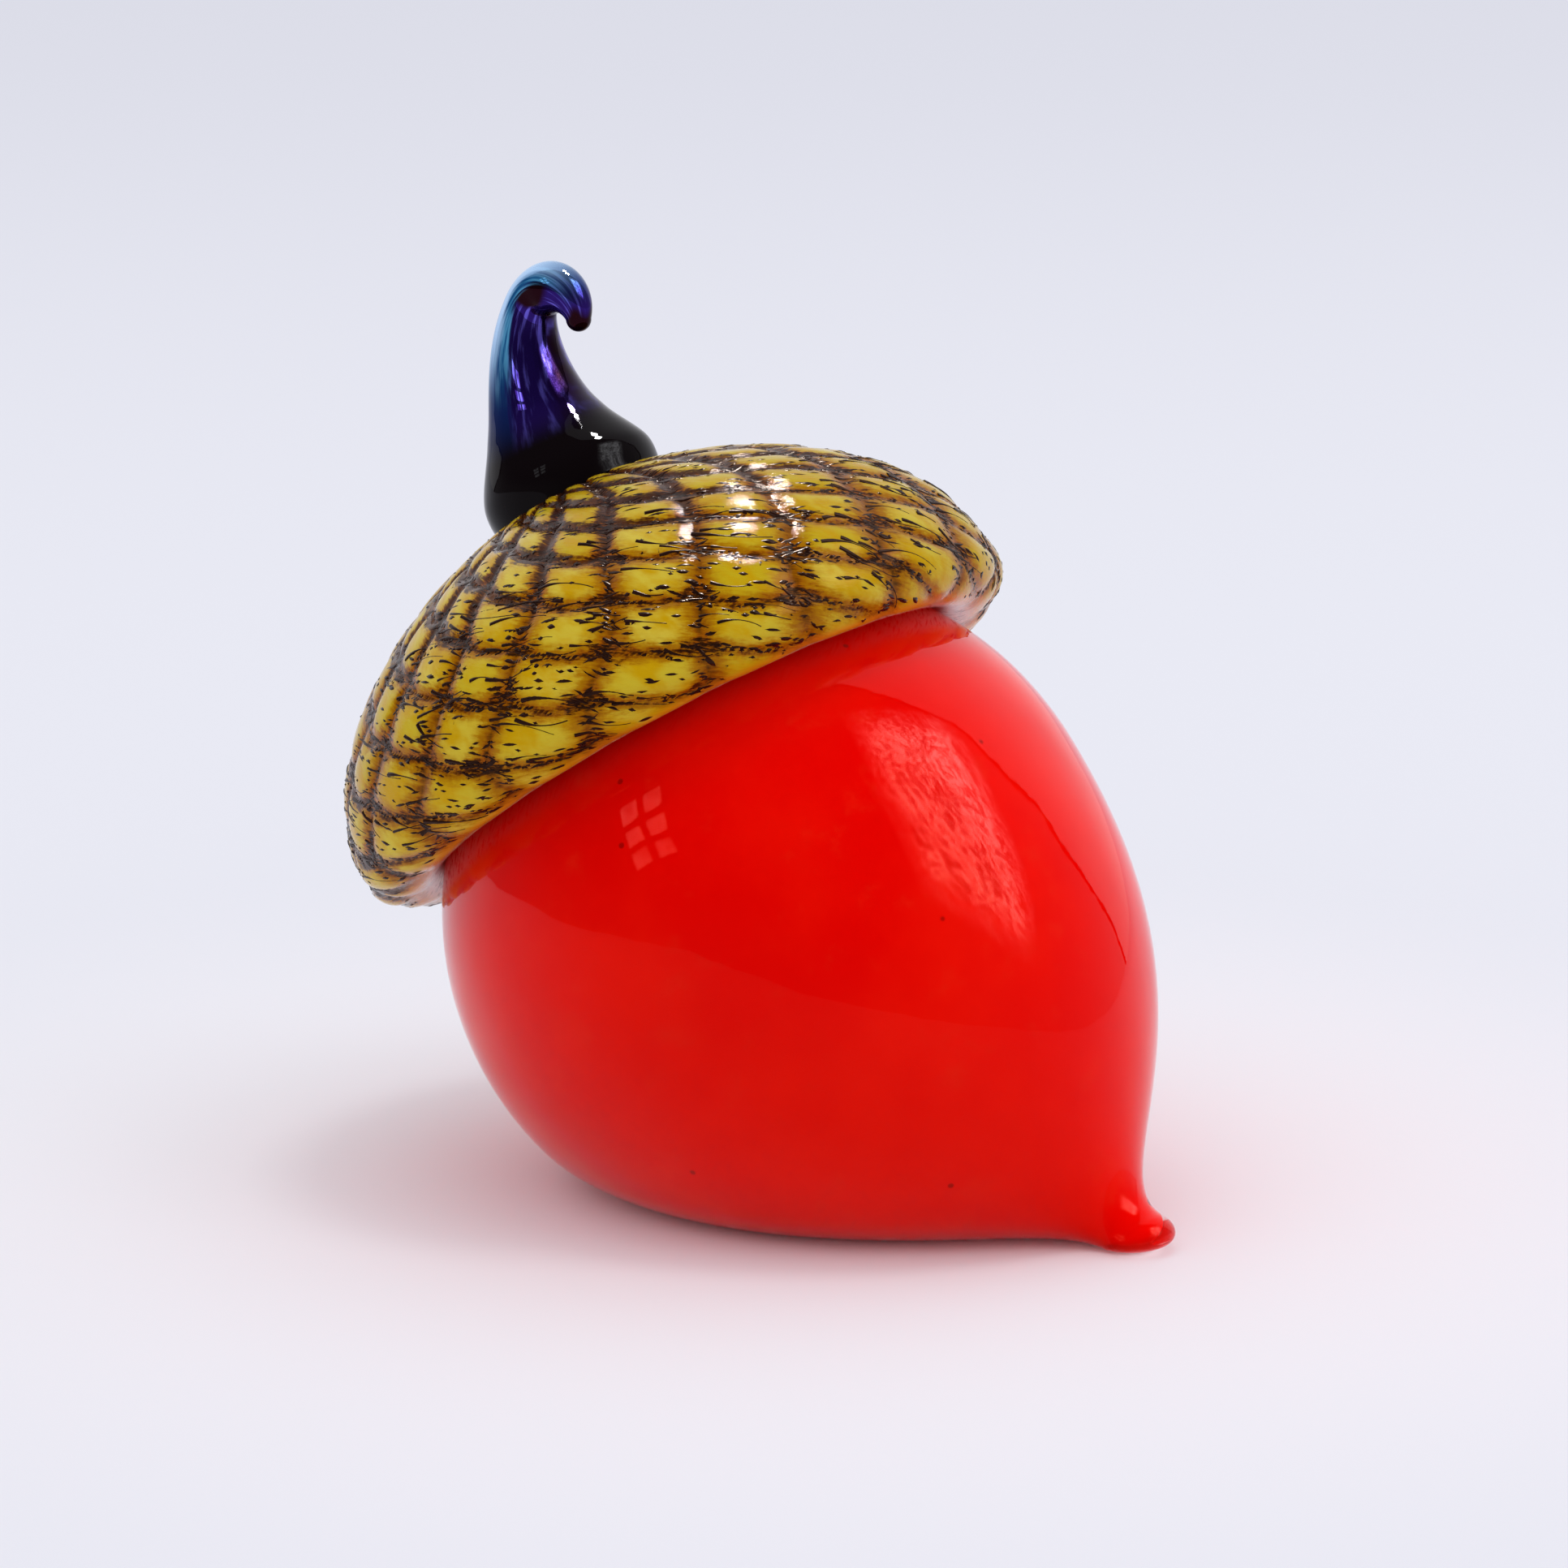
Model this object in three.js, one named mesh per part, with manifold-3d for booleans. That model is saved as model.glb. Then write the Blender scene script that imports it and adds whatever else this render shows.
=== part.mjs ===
// A hand-blown glass acorn. A red cased nut lies on its flattened belly with its nose on the table,
// a cap of moulded cells is bonded over its shoulder at an angle, and a hooked stem stands on the cap.
// Millimetres, +Z up. The origin is on the table, straight below the centre of the nut's round back,
// and the nose points along +X.
import * as THREE from "three";
import { mergeGeometries, mergeVertices } from "three/addons/utils/BufferGeometryUtils.js";
import Module from "manifold-3d";

// Nut: a round back drawn out to a small nub
const NUT_RADIUS = 47;
const BELLY_PRESSED = 8.6; // how much of the round back is pressed flat
const BELLY_BLEND = 5.6; // height over which the belly eases into the flat
const NOSE_DIP = 38.9; // degrees below level
const NOSE_REACH = 76.2; // centre of the back to the middle of the nub
const NUB_RADIUS = 5.5;
const NUB_PRESSED = 4.8; // how much of the nub's underside is pressed flat
const NUB_WAIST = 1.8; // how much the neck behind the nub draws in
const NUB_PULL = 13.9; // stiffness of the outline behind the nub
const SHOULDER_TURN = 79; // degrees from the nose, where the round back begins
const SHOULDER_PULL = 48; // stiffness of the outline where it leaves the round back
const NECK_RADIUS = 11; // opening left by the blowpipe, under the cap

// Layers of the nut, from the outside in
const CASING_WALL = 2.2;
const CORE_WALL = 2;
const TIP_GLASS = 1.4; // how much nearer the back the colour's nose is centred than the nub
const COLOUR_NOSE_RADIUS = 3.9;
const COLOUR_WAIST = 1.4; // how much the colour draws in behind its nose
const COLOUR_TIP = 20.8; // coloured glass ahead of the air bubble
const BUBBLE_NOSE_RADIUS = 5;

// Cap: a dome of moulded cells with a rolled lip
const CAP_RADIUS = 50;
const CAP_HEIGHT = 36.5; // widest ring to the top of the dome
const CAP_LEAN = 34.5; // degrees from upright, away from the nose
const DOME_POWER_ACROSS = 1.2; // above 1 is more pointed
const DOME_POWER_UP = 0.99;
const LIP_HALF_WIDTH = 6.1;
const LIP_HALF_HEIGHT = 5.1;
const CAP_WALL = 2.6;
const LINING_WALL = 2.2;
const CELL_COLUMNS = 20;
const CELL_ROWS = 7;
const CELL_START_RADIUS = 14.5; // where the cells begin, round the stem
const CELL_TURN = 7.8; // degrees to the first column's groove, at the rim
const CELL_TWIST = 5.7; // degrees that a column turns from one row to the next
const SPREAD_SIDE = 19; // degrees to the side where the columns stand apart at the rim and crowd at the top
const SPREAD_RIM = 3.8; // degrees that the columns on either hand move away from that side, at the rim
const SPREAD_ROW = -3.4; // how that changes from one row to the next
const GROOVE_DEPTH = 1;
const CROWN_GROOVE = 2; // width of the groove between the first row and the smooth crown
const BOND_LOW = 175; // degrees round the lip's section, where the adhesive begins
const BOND_HIGH = 140;

// Stem: a blob drawn out into a hooked horn. Heights are along its middle line, from the top of the dome.
const STEM_OFFSET = 1.9; // foot off the cap's axis, on the hook's side
const STEM_FOOT_RADIUS = 12.6;
const STEM_FOOT_HEIGHT = 2.4;
const STEM_SHOULDER_RADIUS = 8.9; // where the blob turns into the horn
const STEM_SHOULDER_HEIGHT = 9.4;
const STEM_SHAFT_RADIUS = 6.6;
const STEM_SHAFT_HEIGHT = 15.3;
const STEM_RISE = 21.3; // top of the dome straight up to the middle of the hook's bend
const HOOK_ACROSS = 10.8; // foot to the middle of the hook's bend
const HOOK_RADIUS = 3.8; // where the hook begins
const HOOK_EYE = 0.6; // clear space inside the bend
const HOOK_START = 127; // degrees round the bend, from straight across
const HOOK_END = -29;
const HOOK_MIDDLE_RADIUS = 3.7; // halfway round the bend
const HOOK_TIP_RADIUS = 1.8;

// Clearances
const LAYER_GAP = 0.3; // between one layer of glass and the next
const SEAT_GAP = 0.3; // between pieces that rest on each other

// Mesh fineness
const NUT_SEGMENTS = 40;
const NOSE_STEPS = 3;
const FLANK_STEPS = 9;
const BACK_STEPS = 9;
const SEGMENTS_PER_CELL = 3;
const LIP_STEPS = 9;
const DOME_STEPS = 9;
const LINING_SEGMENTS = 36;
const BOND_SEGMENTS = 40;
const BOND_STEPS = 3;
const STEM_SIDES = 16;
const STEM_RINGS = 24;
const SEAT_SEGMENTS = 40;

const wasm = await Module();
wasm.setup();
const radians = THREE.MathUtils.degToRad;

function glass(color, roughness) {
  return new THREE.MeshStandardMaterial({ color, roughness, metalness: 0 });
}

function addPiece(parent, name, geometry, material) {
  const mesh = new THREE.Mesh(geometry, material);
  mesh.name = name;
  parent.add(mesh);
}

// Booleans

function toSolid(geometry) {
  const bare = geometry.clone();
  bare.deleteAttribute("normal");
  bare.deleteAttribute("uv");
  const merged = mergeVertices(bare, 1e-4);
  const vertProperties = merged.attributes.position.array;
  const triVerts = new Uint32Array(merged.index.array);
  return new wasm.Manifold(new wasm.Mesh({ numProp: 3, vertProperties, triVerts }));
}

function cut(geometry, tool) {
  const made = toSolid(geometry).subtract(toSolid(tool)).getMesh();
  const result = new THREE.BufferGeometry();
  result.setAttribute("position", new THREE.BufferAttribute(made.vertProperties, 3));
  result.setIndex(new THREE.BufferAttribute(made.triVerts, 1));
  result.computeVertexNormals();
  return result;
}

// A turned piece: the outline's x is the radius and its y the height along the group's +Z.
function turned(outline, segments) {
  return new THREE.LatheGeometry(outline, segments).rotateX(Math.PI / 2);
}

// Nut

const noseDip = radians(NOSE_DIP);
const noseAxis = new THREE.Vector3(Math.cos(noseDip), 0, -Math.sin(noseDip));
const nutCentreHeight = NUT_RADIUS - BELLY_PRESSED;
const nubHeight = NUB_RADIUS - NUB_PRESSED;

// The nose is bent up off the nut's own axis until the nub lies on the table.
const noseLift = nubHeight - (nutCentreHeight - NOSE_REACH * Math.sin(noseDip));

// One surface of the nut from its nose to the neck: x is off the nut's axis, y is the reach to the nose.
function nutOutline(inset, noseReach, noseRadius, waist) {
  const back = NUT_RADIUS - inset;
  const turn = radians(SHOULDER_TURN);
  const neckTurn = Math.asin(NECK_RADIUS / back);
  const shoulder = new THREE.Vector2(Math.sin(turn), Math.cos(turn)).multiplyScalar(back);
  const pull = new THREE.Vector2(-Math.cos(turn), Math.sin(turn)).multiplyScalar(SHOULDER_PULL - inset);
  const noseArc = new THREE.EllipseCurve(0, noseReach, noseRadius, noseRadius, Math.PI / 2, 0, true);
  const flank = new THREE.CubicBezierCurve(
    new THREE.Vector2(noseRadius, noseReach),
    new THREE.Vector2(noseRadius - waist, noseReach - NUB_PULL),
    shoulder.clone().add(pull),
    shoulder,
  );
  const startAngle = Math.PI / 2 - turn;
  const backArc = new THREE.EllipseCurve(0, 0, back, back, startAngle, neckTurn - Math.PI / 2, true);
  return [
    ...noseArc.getPoints(NOSE_STEPS),
    ...flank.getPoints(FLANK_STEPS).slice(1),
    ...backArc.getPoints(BACK_STEPS).slice(1),
  ];
}

// The belly's height after it was pressed on a flat surface at the given level.
function pressedFlat(height, level) {
  const above = height - level;
  if (above >= BELLY_BLEND) return height;
  if (above <= -BELLY_BLEND) return level;
  return level + (above + BELLY_BLEND) ** 2 / (4 * BELLY_BLEND);
}

// One surface of the nut, turned about its axis, bent up at the nose and pressed flat at the given level.
function nutSurface(outline, level) {
  const geometry = new THREE.LatheGeometry(outline, NUT_SEGMENTS);
  geometry.rotateZ(-Math.PI / 2);
  geometry.rotateY(noseDip);
  const place = geometry.attributes.position;
  const point = new THREE.Vector3();
  for (let i = 0; i < place.count; i++) {
    point.fromBufferAttribute(place, i);
    const reach = Math.max(0, point.dot(noseAxis));
    const lifted = point.z + nutCentreHeight + noseLift * (reach / NOSE_REACH) ** 2;
    place.setZ(i, pressedFlat(lifted, level));
  }
  return geometry;
}

function flipped(geometry) {
  const corners = geometry.index.array;
  for (let i = 0; i < corners.length; i += 3) {
    [corners[i + 1], corners[i + 2]] = [corners[i + 2], corners[i + 1]];
  }
  return geometry;
}

// A layer of the nut between two outlines, open at the neck.
function nutLayer(outer, outerLevel, inner, innerLevel) {
  const outside = flipped(nutSurface(outer, outerLevel));
  const inside = nutSurface(inner, innerLevel);
  const rim = nutSurface([inner.at(-1), outer.at(-1)], 0);
  return mergeGeometries([outside, inside, rim]);
}

const coreInset = CASING_WALL + LAYER_GAP;
const bubbleInset = coreInset + CORE_WALL;
const colourReach = NOSE_REACH - TIP_GLASS;
const bubbleReach = colourReach - COLOUR_TIP;

const nutSkin = nutOutline(0, NOSE_REACH, NUB_RADIUS, NUB_WAIST);
const casingNose = COLOUR_NOSE_RADIUS + LAYER_GAP;
const casingInside = nutOutline(CASING_WALL, colourReach + LAYER_GAP, casingNose, COLOUR_WAIST);
const coreSkin = nutOutline(coreInset, colourReach, COLOUR_NOSE_RADIUS, COLOUR_WAIST);
const coreInside = nutOutline(bubbleInset, bubbleReach, BUBBLE_NOSE_RADIUS, 0);

const acorn = new THREE.Group();
addPiece(acorn, "nut_casing", nutLayer(nutSkin, 0, casingInside, CASING_WALL), glass(0xf6d9d2, 0.05));
addPiece(acorn, "nut_core", nutLayer(coreSkin, coreInset, coreInside, bubbleInset), glass(0xc8100c, 0.12));

// Cap: its group's origin is the middle of the widest ring and its +Z runs up to the stem

const lip = new THREE.EllipseCurve(
  CAP_RADIUS - LIP_HALF_WIDTH,
  0,
  LIP_HALF_WIDTH,
  LIP_HALF_HEIGHT,
  Math.PI / 2,
  2 * Math.PI,
).getPoints(LIP_STEPS);

// The cap is lowered along its axis until its lip rests on the nut's round back.
const seatReach = NUT_RADIUS + SEAT_GAP;
const seatHeights = lip.map((p) => Math.sqrt(Math.max(0, seatReach ** 2 - p.x ** 2)) - p.y);
const capSeat = Math.max(...seatHeights);
const capLean = radians(CAP_LEAN);
const cap = new THREE.Group();
cap.position.set(-capSeat * Math.sin(capLean), 0, nutCentreHeight + capSeat * Math.cos(capLean));
cap.rotation.y = -capLean;
acorn.add(cap);

// A point of the dome: steep is 0 at the top and a quarter turn at the widest ring.
function domePoint(steep, inset) {
  const across = (CAP_RADIUS - inset) * Math.sin(steep) ** DOME_POWER_ACROSS;
  const up = (CAP_HEIGHT - inset) * Math.max(0, Math.cos(steep)) ** DOME_POWER_UP;
  return new THREE.Vector2(across, up);
}

// The dome's outline from its top down to the given height.
function domeOutline(inset, lowest) {
  const last = Math.acos((lowest / (CAP_HEIGHT - inset)) ** (1 / DOME_POWER_UP));
  return Array.from({ length: DOME_STEPS + 1 }, (_, i) => domePoint((last * i) / DOME_STEPS, inset));
}

// How steep the dome is where it has the given radius.
function steepAt(radius) {
  return Math.asin((radius / CAP_RADIUS) ** (1 / DOME_POWER_ACROSS));
}

const cellStart = steepAt(CELL_START_RADIUS);
const cellSpan = (Math.PI / 2 - cellStart) / CELL_ROWS;

// How far a cell stands out of its grooves, from 0 to 1. One set of grooves follows the columns, and the
// other crosses one column with each row.
function pillow(column, fromRim) {
  const crossing = column + fromRim;
  const across = 2 * (column - Math.floor(column)) - 1;
  const along = 2 * (crossing - Math.floor(crossing)) - 1;
  return (1 - across ** 4) * (1 - along ** 4);
}

// The angle round the cap's axis of a column at so many rows from the rim.
function cellTurn(column, fromRim) {
  const even = radians(CELL_TURN + CELL_TWIST * fromRim) + (column / CELL_COLUMNS) * 2 * Math.PI;
  const spread = radians(SPREAD_RIM + SPREAD_ROW * fromRim);
  return even + spread * Math.sin(even - radians(SPREAD_SIDE));
}

function capDome() {
  const inside = domeOutline(CAP_WALL, LIP_HALF_HEIGHT);
  const rows = Array.from({ length: CELL_ROWS * SEGMENTS_PER_CELL }, (_, i) => {
    return Math.PI / 2 - ((i + 1) / SEGMENTS_PER_CELL) * cellSpan;
  });
  const crownEdge = steepAt(CELL_START_RADIUS - CROWN_GROOVE);
  const crown = [crownEdge, crownEdge / 2, 0];
  const steeps = [...rows, ...crown];
  const outline = [...inside, ...lip, ...steeps.map((steep) => domePoint(steep, 0))];
  const segments = CELL_COLUMNS * SEGMENTS_PER_CELL;
  const geometry = new THREE.LatheGeometry(outline, segments);
  const place = geometry.attributes.position;
  const firstRow = inside.length + lip.length;
  for (let i = 0; i < place.count; i++) {
    const j = i % outline.length;
    const column = Math.floor(i / outline.length) / SEGMENTS_PER_CELL;
    const steep = j < firstRow ? Math.PI / 2 : steeps[j - firstRow];
    const fromRim = Math.min(CELL_ROWS, (Math.PI / 2 - steep) / cellSpan);
    const isCell = j >= firstRow && j < firstRow + rows.length;
    const point = isCell ? domePoint(steep, GROOVE_DEPTH * (1 - pillow(column, fromRim))) : outline[j];
    const turn = cellTurn(column, fromRim);
    place.setXYZ(i, point.x * Math.sin(turn), point.y, point.x * Math.cos(turn));
  }
  return geometry.rotateX(Math.PI / 2);
}

function capLining() {
  const edge = LIP_HALF_HEIGHT + LAYER_GAP;
  const outside = domeOutline(CAP_WALL + LAYER_GAP, edge);
  const inside = domeOutline(CAP_WALL + LAYER_GAP + LINING_WALL, edge);
  return turned([...inside, ...outside.reverse()], LINING_SEGMENTS);
}

// A fillet of adhesive above the seat: one side follows the lip and the other the nut.
function bondRing() {
  const lipSide = new THREE.EllipseCurve(
    CAP_RADIUS - LIP_HALF_WIDTH,
    0,
    LIP_HALF_WIDTH + SEAT_GAP,
    LIP_HALF_HEIGHT + SEAT_GAP,
    radians(BOND_LOW),
    radians(BOND_HIGH),
    true,
  ).getPoints(BOND_STEPS);
  const nutCentre = new THREE.Vector2(0, -capSeat);
  const nutSide = lipSide.map((p) => p.clone().sub(nutCentre).setLength(seatReach).add(nutCentre));
  const outline = [...lipSide, ...nutSide.reverse(), lipSide[0].clone()];
  return turned(outline, BOND_SEGMENTS);
}

addPiece(cap, "cap_dome", capDome(), glass(0xb8801c, 0.12));
addPiece(cap, "cap_lining", capLining(), glass(0xe6dcae, 0.2));
addPiece(cap, "bond_ring", bondRing(), glass(0xf2f0ea, 0.2));

// Stem

const hookBend = HOOK_RADIUS + HOOK_EYE;
const hookMiddle = new THREE.Vector3(STEM_OFFSET + HOOK_ACROSS, 0, CAP_HEIGHT + STEM_RISE);

class HookBend extends THREE.Curve {
  getPoint(t, target = new THREE.Vector3()) {
    const turn = radians(HOOK_START + (HOOK_END - HOOK_START) * t);
    target.set(Math.cos(turn), 0, Math.sin(turn));
    return target.multiplyScalar(hookBend).add(hookMiddle);
  }
}

// The stem's middle line, from inside the dome to the end of the hook.
function stemLine() {
  const bend = new HookBend();
  const foot = new THREE.Vector3(STEM_OFFSET, 0, CAP_HEIGHT - CAP_WALL);
  const joint = bend.getPoint(0);
  const leaving = new THREE.Vector3(Math.sin(radians(HOOK_START)), 0, -Math.cos(radians(HOOK_START)));
  const straight = (joint.z - foot.z) / 3;
  const line = new THREE.CurvePath();
  line.add(
    new THREE.CubicBezierCurve3(
      foot,
      foot.clone().add(new THREE.Vector3(0, 0, straight)),
      joint.clone().addScaledVector(leaving, -straight),
      joint,
    ),
  );
  line.add(bend);
  return line;
}

// The stem's radius by the distance along its middle line, as a smooth curve through its main sections.
function stemSections(line) {
  const [toHook, toEnd] = line.getCurveLengths();
  return new THREE.SplineCurve([
    new THREE.Vector2(0, STEM_FOOT_RADIUS),
    new THREE.Vector2(CAP_WALL + STEM_FOOT_HEIGHT, STEM_FOOT_RADIUS),
    new THREE.Vector2(CAP_WALL + STEM_SHOULDER_HEIGHT, STEM_SHOULDER_RADIUS),
    new THREE.Vector2(CAP_WALL + STEM_SHAFT_HEIGHT, STEM_SHAFT_RADIUS),
    new THREE.Vector2(toHook, HOOK_RADIUS),
    new THREE.Vector2((toHook + toEnd) / 2, HOOK_MIDDLE_RADIUS),
    new THREE.Vector2(toEnd, HOOK_TIP_RADIUS),
  ]).getPoints(STEM_RINGS);
}

function horn() {
  const line = stemLine();
  const length = line.getLength();
  const side = new THREE.Vector3(0, 1, 0);
  const sections = stemSections(line).map(({ x, y }) => {
    const share = THREE.MathUtils.clamp(x / length, 0, 1);
    return { middle: line.getPointAt(share), along: line.getTangentAt(share), radius: y };
  });
  const end = sections.at(-1);
  for (const turn of [30, 60].map(radians)) {
    const middle = end.middle.clone().addScaledVector(end.along, end.radius * Math.sin(turn));
    sections.push({ middle, along: end.along, radius: end.radius * Math.cos(turn) });
  }
  const points = [];
  for (const { middle, along, radius } of sections) {
    const out = new THREE.Vector3().crossVectors(side, along);
    for (let i = 0; i < STEM_SIDES; i++) {
      const turn = (i / STEM_SIDES) * 2 * Math.PI;
      const rim = middle.clone().addScaledVector(out, radius * Math.cos(turn));
      points.push(rim.addScaledVector(side, radius * Math.sin(turn)));
    }
  }
  const footMiddle = points.push(sections[0].middle) - 1;
  const tipMiddle = points.push(end.middle.clone().addScaledVector(end.along, end.radius)) - 1;
  const triangles = [];
  const lastRing = (sections.length - 1) * STEM_SIDES;
  for (let i = 0; i < STEM_SIDES; i++) {
    const next = (i + 1) % STEM_SIDES;
    for (let ring = 0; ring < lastRing; ring += STEM_SIDES) {
      const above = ring + STEM_SIDES;
      triangles.push(ring + i, ring + next, above + next, ring + i, above + next, above + i);
    }
    triangles.push(footMiddle, next, i, tipMiddle, lastRing + i, lastRing + next);
  }
  return new THREE.BufferGeometry().setFromPoints(points).setIndex(triangles);
}

// The stem's foot is shaped by the dome under it, less the seat's gap.
const seatOutline = [new THREE.Vector2(0, 0), ...domeOutline(-SEAT_GAP, 0).reverse()];
const domeUnderStem = turned(seatOutline, SEAT_SEGMENTS);
addPiece(cap, "stem", cut(horn(), domeUnderStem), glass(0x1c1a30, 0.08));

export default acorn;
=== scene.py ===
import math

import bmesh
import bpy
import numpy as np
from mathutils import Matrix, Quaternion, Vector


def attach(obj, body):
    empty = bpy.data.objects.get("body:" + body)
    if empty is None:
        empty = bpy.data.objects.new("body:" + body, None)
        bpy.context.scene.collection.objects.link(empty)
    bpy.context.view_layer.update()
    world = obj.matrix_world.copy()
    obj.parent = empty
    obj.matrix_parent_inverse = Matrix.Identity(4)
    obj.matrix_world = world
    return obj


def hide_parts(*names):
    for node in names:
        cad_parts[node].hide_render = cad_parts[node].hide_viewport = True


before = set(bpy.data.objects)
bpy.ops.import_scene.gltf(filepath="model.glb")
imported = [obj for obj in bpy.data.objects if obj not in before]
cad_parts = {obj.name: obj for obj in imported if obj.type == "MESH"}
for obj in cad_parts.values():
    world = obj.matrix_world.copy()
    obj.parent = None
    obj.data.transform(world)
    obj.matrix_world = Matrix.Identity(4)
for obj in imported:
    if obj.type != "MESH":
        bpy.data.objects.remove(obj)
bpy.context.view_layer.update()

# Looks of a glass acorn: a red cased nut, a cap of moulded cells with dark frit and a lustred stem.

# Sizes are in millimetres and degrees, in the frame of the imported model, and meshes are made in metres.
MM = 0.001

# Nut
NUT_RADIUS = 47
BELLY_PRESSED = 8.6
BELLY_BLEND = 5.6
NOSE_DIP = 38.9
NOSE_REACH = 76.2
NUB_RADIUS = 5.5
NUB_PRESSED = 4.8
NUB_WAIST = 1.8
NUB_PULL = 13.9
SHOULDER_TURN = 79
SHOULDER_PULL = 48
NECK_RADIUS = 11
CASING_WALL = 2.2
CORE_WALL = 2
TIP_GLASS = 1.4
COLOUR_NOSE_RADIUS = 3.9
COLOUR_WAIST = 1.4
COLOUR_TIP = 20.8
BUBBLE_NOSE_RADIUS = 5
LAYERS_FUSED = 0.8  # how far the casing's inner wall lies inside the colour
FLAT_GLASS = 0.3  # clear glass under the flat of the colour
COLOUR_SPREAD = 1.5  # how far the colour spreads into the casing round the flat
COLOUR_SPREAD_HEIGHT = 14
COLOUR_SPREAD_END = 30  # how far towards the nose it spreads

# Cap
CAP_RADIUS = 50
CAP_HEIGHT = 36.5
CAP_LEAN = 34.5
DOME_POWER_ACROSS = 1.2
DOME_POWER_UP = 0.99
LIP_HALF_WIDTH = 6.1
LIP_HALF_HEIGHT = 5.1
CAP_WALL = 2.6
CELL_COLUMNS = 20
CELL_ROWS = 7
CELL_START_RADIUS = 14.5
CELL_TURN = 7.8
CELL_TWIST = 5.7
SPREAD_SIDE = 19
SPREAD_RIM = 3.8
SPREAD_ROW = -3.4
GROOVE_DEPTH = 0.75
CELL_UNEVENNESS = 0.65  # as a share of a cell
CELL_SAG = 0.16  # of each row between its columns, as a share of a cell
UNEVEN_SCALE = 60  # of the noise that sways the columns and lifts the rows, per metre
UNEVEN_SHIFT = (1.3, 2.1, 0.7)  # between the noise of the columns and that of the rows
LIP_ROWS = 3  # rows counted round the lip, one for each quarter turn
LIP_FADE = (-1.4, -0.5)  # rows from the rim between which the grooves fade out round the lip
CROWN_FADE = (-0.35, 0.25)  # rows short of the crown between which they fade out there
FRIT_SLOPE = -0.55  # of the chips, from level round the cap, in radians
SEAT_GAP = 0.3

# Stem
STEM_OFFSET = 1.9
STEM_FOOT_RADIUS = 12.6
STEM_FOOT_HEIGHT = 2.4
STEM_SHOULDER_RADIUS = 8.9
STEM_SHOULDER_HEIGHT = 9.4
STEM_SHAFT_RADIUS = 6.6
STEM_SHAFT_HEIGHT = 15.3
STEM_RISE = 21.3
HOOK_ACROSS = 10.8
HOOK_RADIUS = 3.8
HOOK_EYE = 0.6
HOOK_START = 127
HOOK_END = -29
HOOK_MIDDLE_RADIUS = 3.7
HOOK_TIP_RADIUS = 1.8

# Mesh fineness
NUT_SIDES = 192
NOSE_STEPS = 16
FLANK_STEPS = 72
BACK_STEPS = 56
STEPS_PER_CELL = 16
LIP_STEPS = 36
INSIDE_STEPS = 20
CROWN_STEPS = 10
FRIT_SIDES = 5
STEM_SIDES = 72
STEM_RINGS = 150
TIP_RINGS = 8

# Camera, from the photograph
VIEW_AZIMUTH = 36.2
VIEW_ELEVATION = 14
VIEW_DISTANCE = 847.5  # camera to the middle of the nut's back
PHOTO_SIDE = 1932
PIXEL_SIZE = 0.113  # of the photograph, at the nut's middle
NUT_MIDDLE_PIXEL = (961, 1121)

nut_middle = NUT_RADIUS - BELLY_PRESSED
nub_middle = NUB_RADIUS - NUB_PRESSED
nose_dip = math.radians(NOSE_DIP)
nose_lift = nub_middle - (nut_middle - NOSE_REACH * math.sin(nose_dip))
cap_lean = math.radians(CAP_LEAN)


# Nodes

def add(tree, kind, inputs=None, **settings):
    """A node with these settings, whose inputs are linked to sockets or set to values."""
    node = tree.nodes.new(kind)
    for name, value in settings.items():
        setattr(node, name, value)
    for name, value in (inputs or {}).items():
        if isinstance(name, int):
            socket = node.inputs[name]
        else:
            socket = next(s for s in node.inputs if s.name == name and s.enabled)
        if isinstance(value, bpy.types.NodeSocket):
            tree.links.new(value, socket)
        else:
            socket.default_value = value
    return node


def out(node, name=None):
    """A node's output with this name, or its first one."""
    return next(s for s in node.outputs if s.enabled and name in (None, s.name))


def calc(tree, operation, *values):
    return out(add(tree, "ShaderNodeMath", dict(enumerate(values)), operation=operation))


def times(tree, first, *others):
    for other in others:
        first = calc(tree, "MULTIPLY", first, other)
    return first


def vector_calc(tree, operation, *values):
    return out(add(tree, "ShaderNodeVectorMath", dict(enumerate(values)), operation=operation))


def scaled(tree, vector, factor):
    return out(add(tree, "ShaderNodeVectorMath", {0: vector, "Scale": factor}, operation="SCALE"))


def joined(tree, **parts):
    """A vector from its X, Y and Z, with 0 for each that isn't given."""
    return out(add(tree, "ShaderNodeCombineXYZ", parts))


def dot(tree, first, second):
    inputs = {0: first, 1: tuple(second)}
    return add(tree, "ShaderNodeVectorMath", inputs, operation="DOT_PRODUCT").outputs["Value"]


def ease(tree, value, low, high, start=0.0, end=1.0):
    """Goes smoothly from start to end as value goes from low to high."""
    inputs = {"Value": value, "From Min": low, "From Max": high, "To Min": start, "To Max": end}
    return out(add(tree, "ShaderNodeMapRange", inputs, interpolation_type="SMOOTHSTEP"))


def noise(tree, place, scale, detail, roughness=0.5):
    inputs = {"Vector": place, "Scale": scale, "Detail": detail, "Roughness": roughness}
    return out(add(tree, "ShaderNodeTexNoise", inputs))


def tint(tree, factor, first, second):
    """The first colour turning into the second as the factor goes from 0 to 1."""
    return add(tree, "ShaderNodeMix", {0: factor, 6: first, 7: second}, data_type="RGBA").outputs[2]


def colour(red, green, blue):
    """A colour as it looks on a screen, from 0 to 255, turned into linear light."""
    def linear(c):
        c /= 255
        return c / 12.92 if c <= 0.04045 else ((c + 0.055) / 1.055) ** 2.4
    return (linear(red), linear(green), linear(blue), 1)


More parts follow.
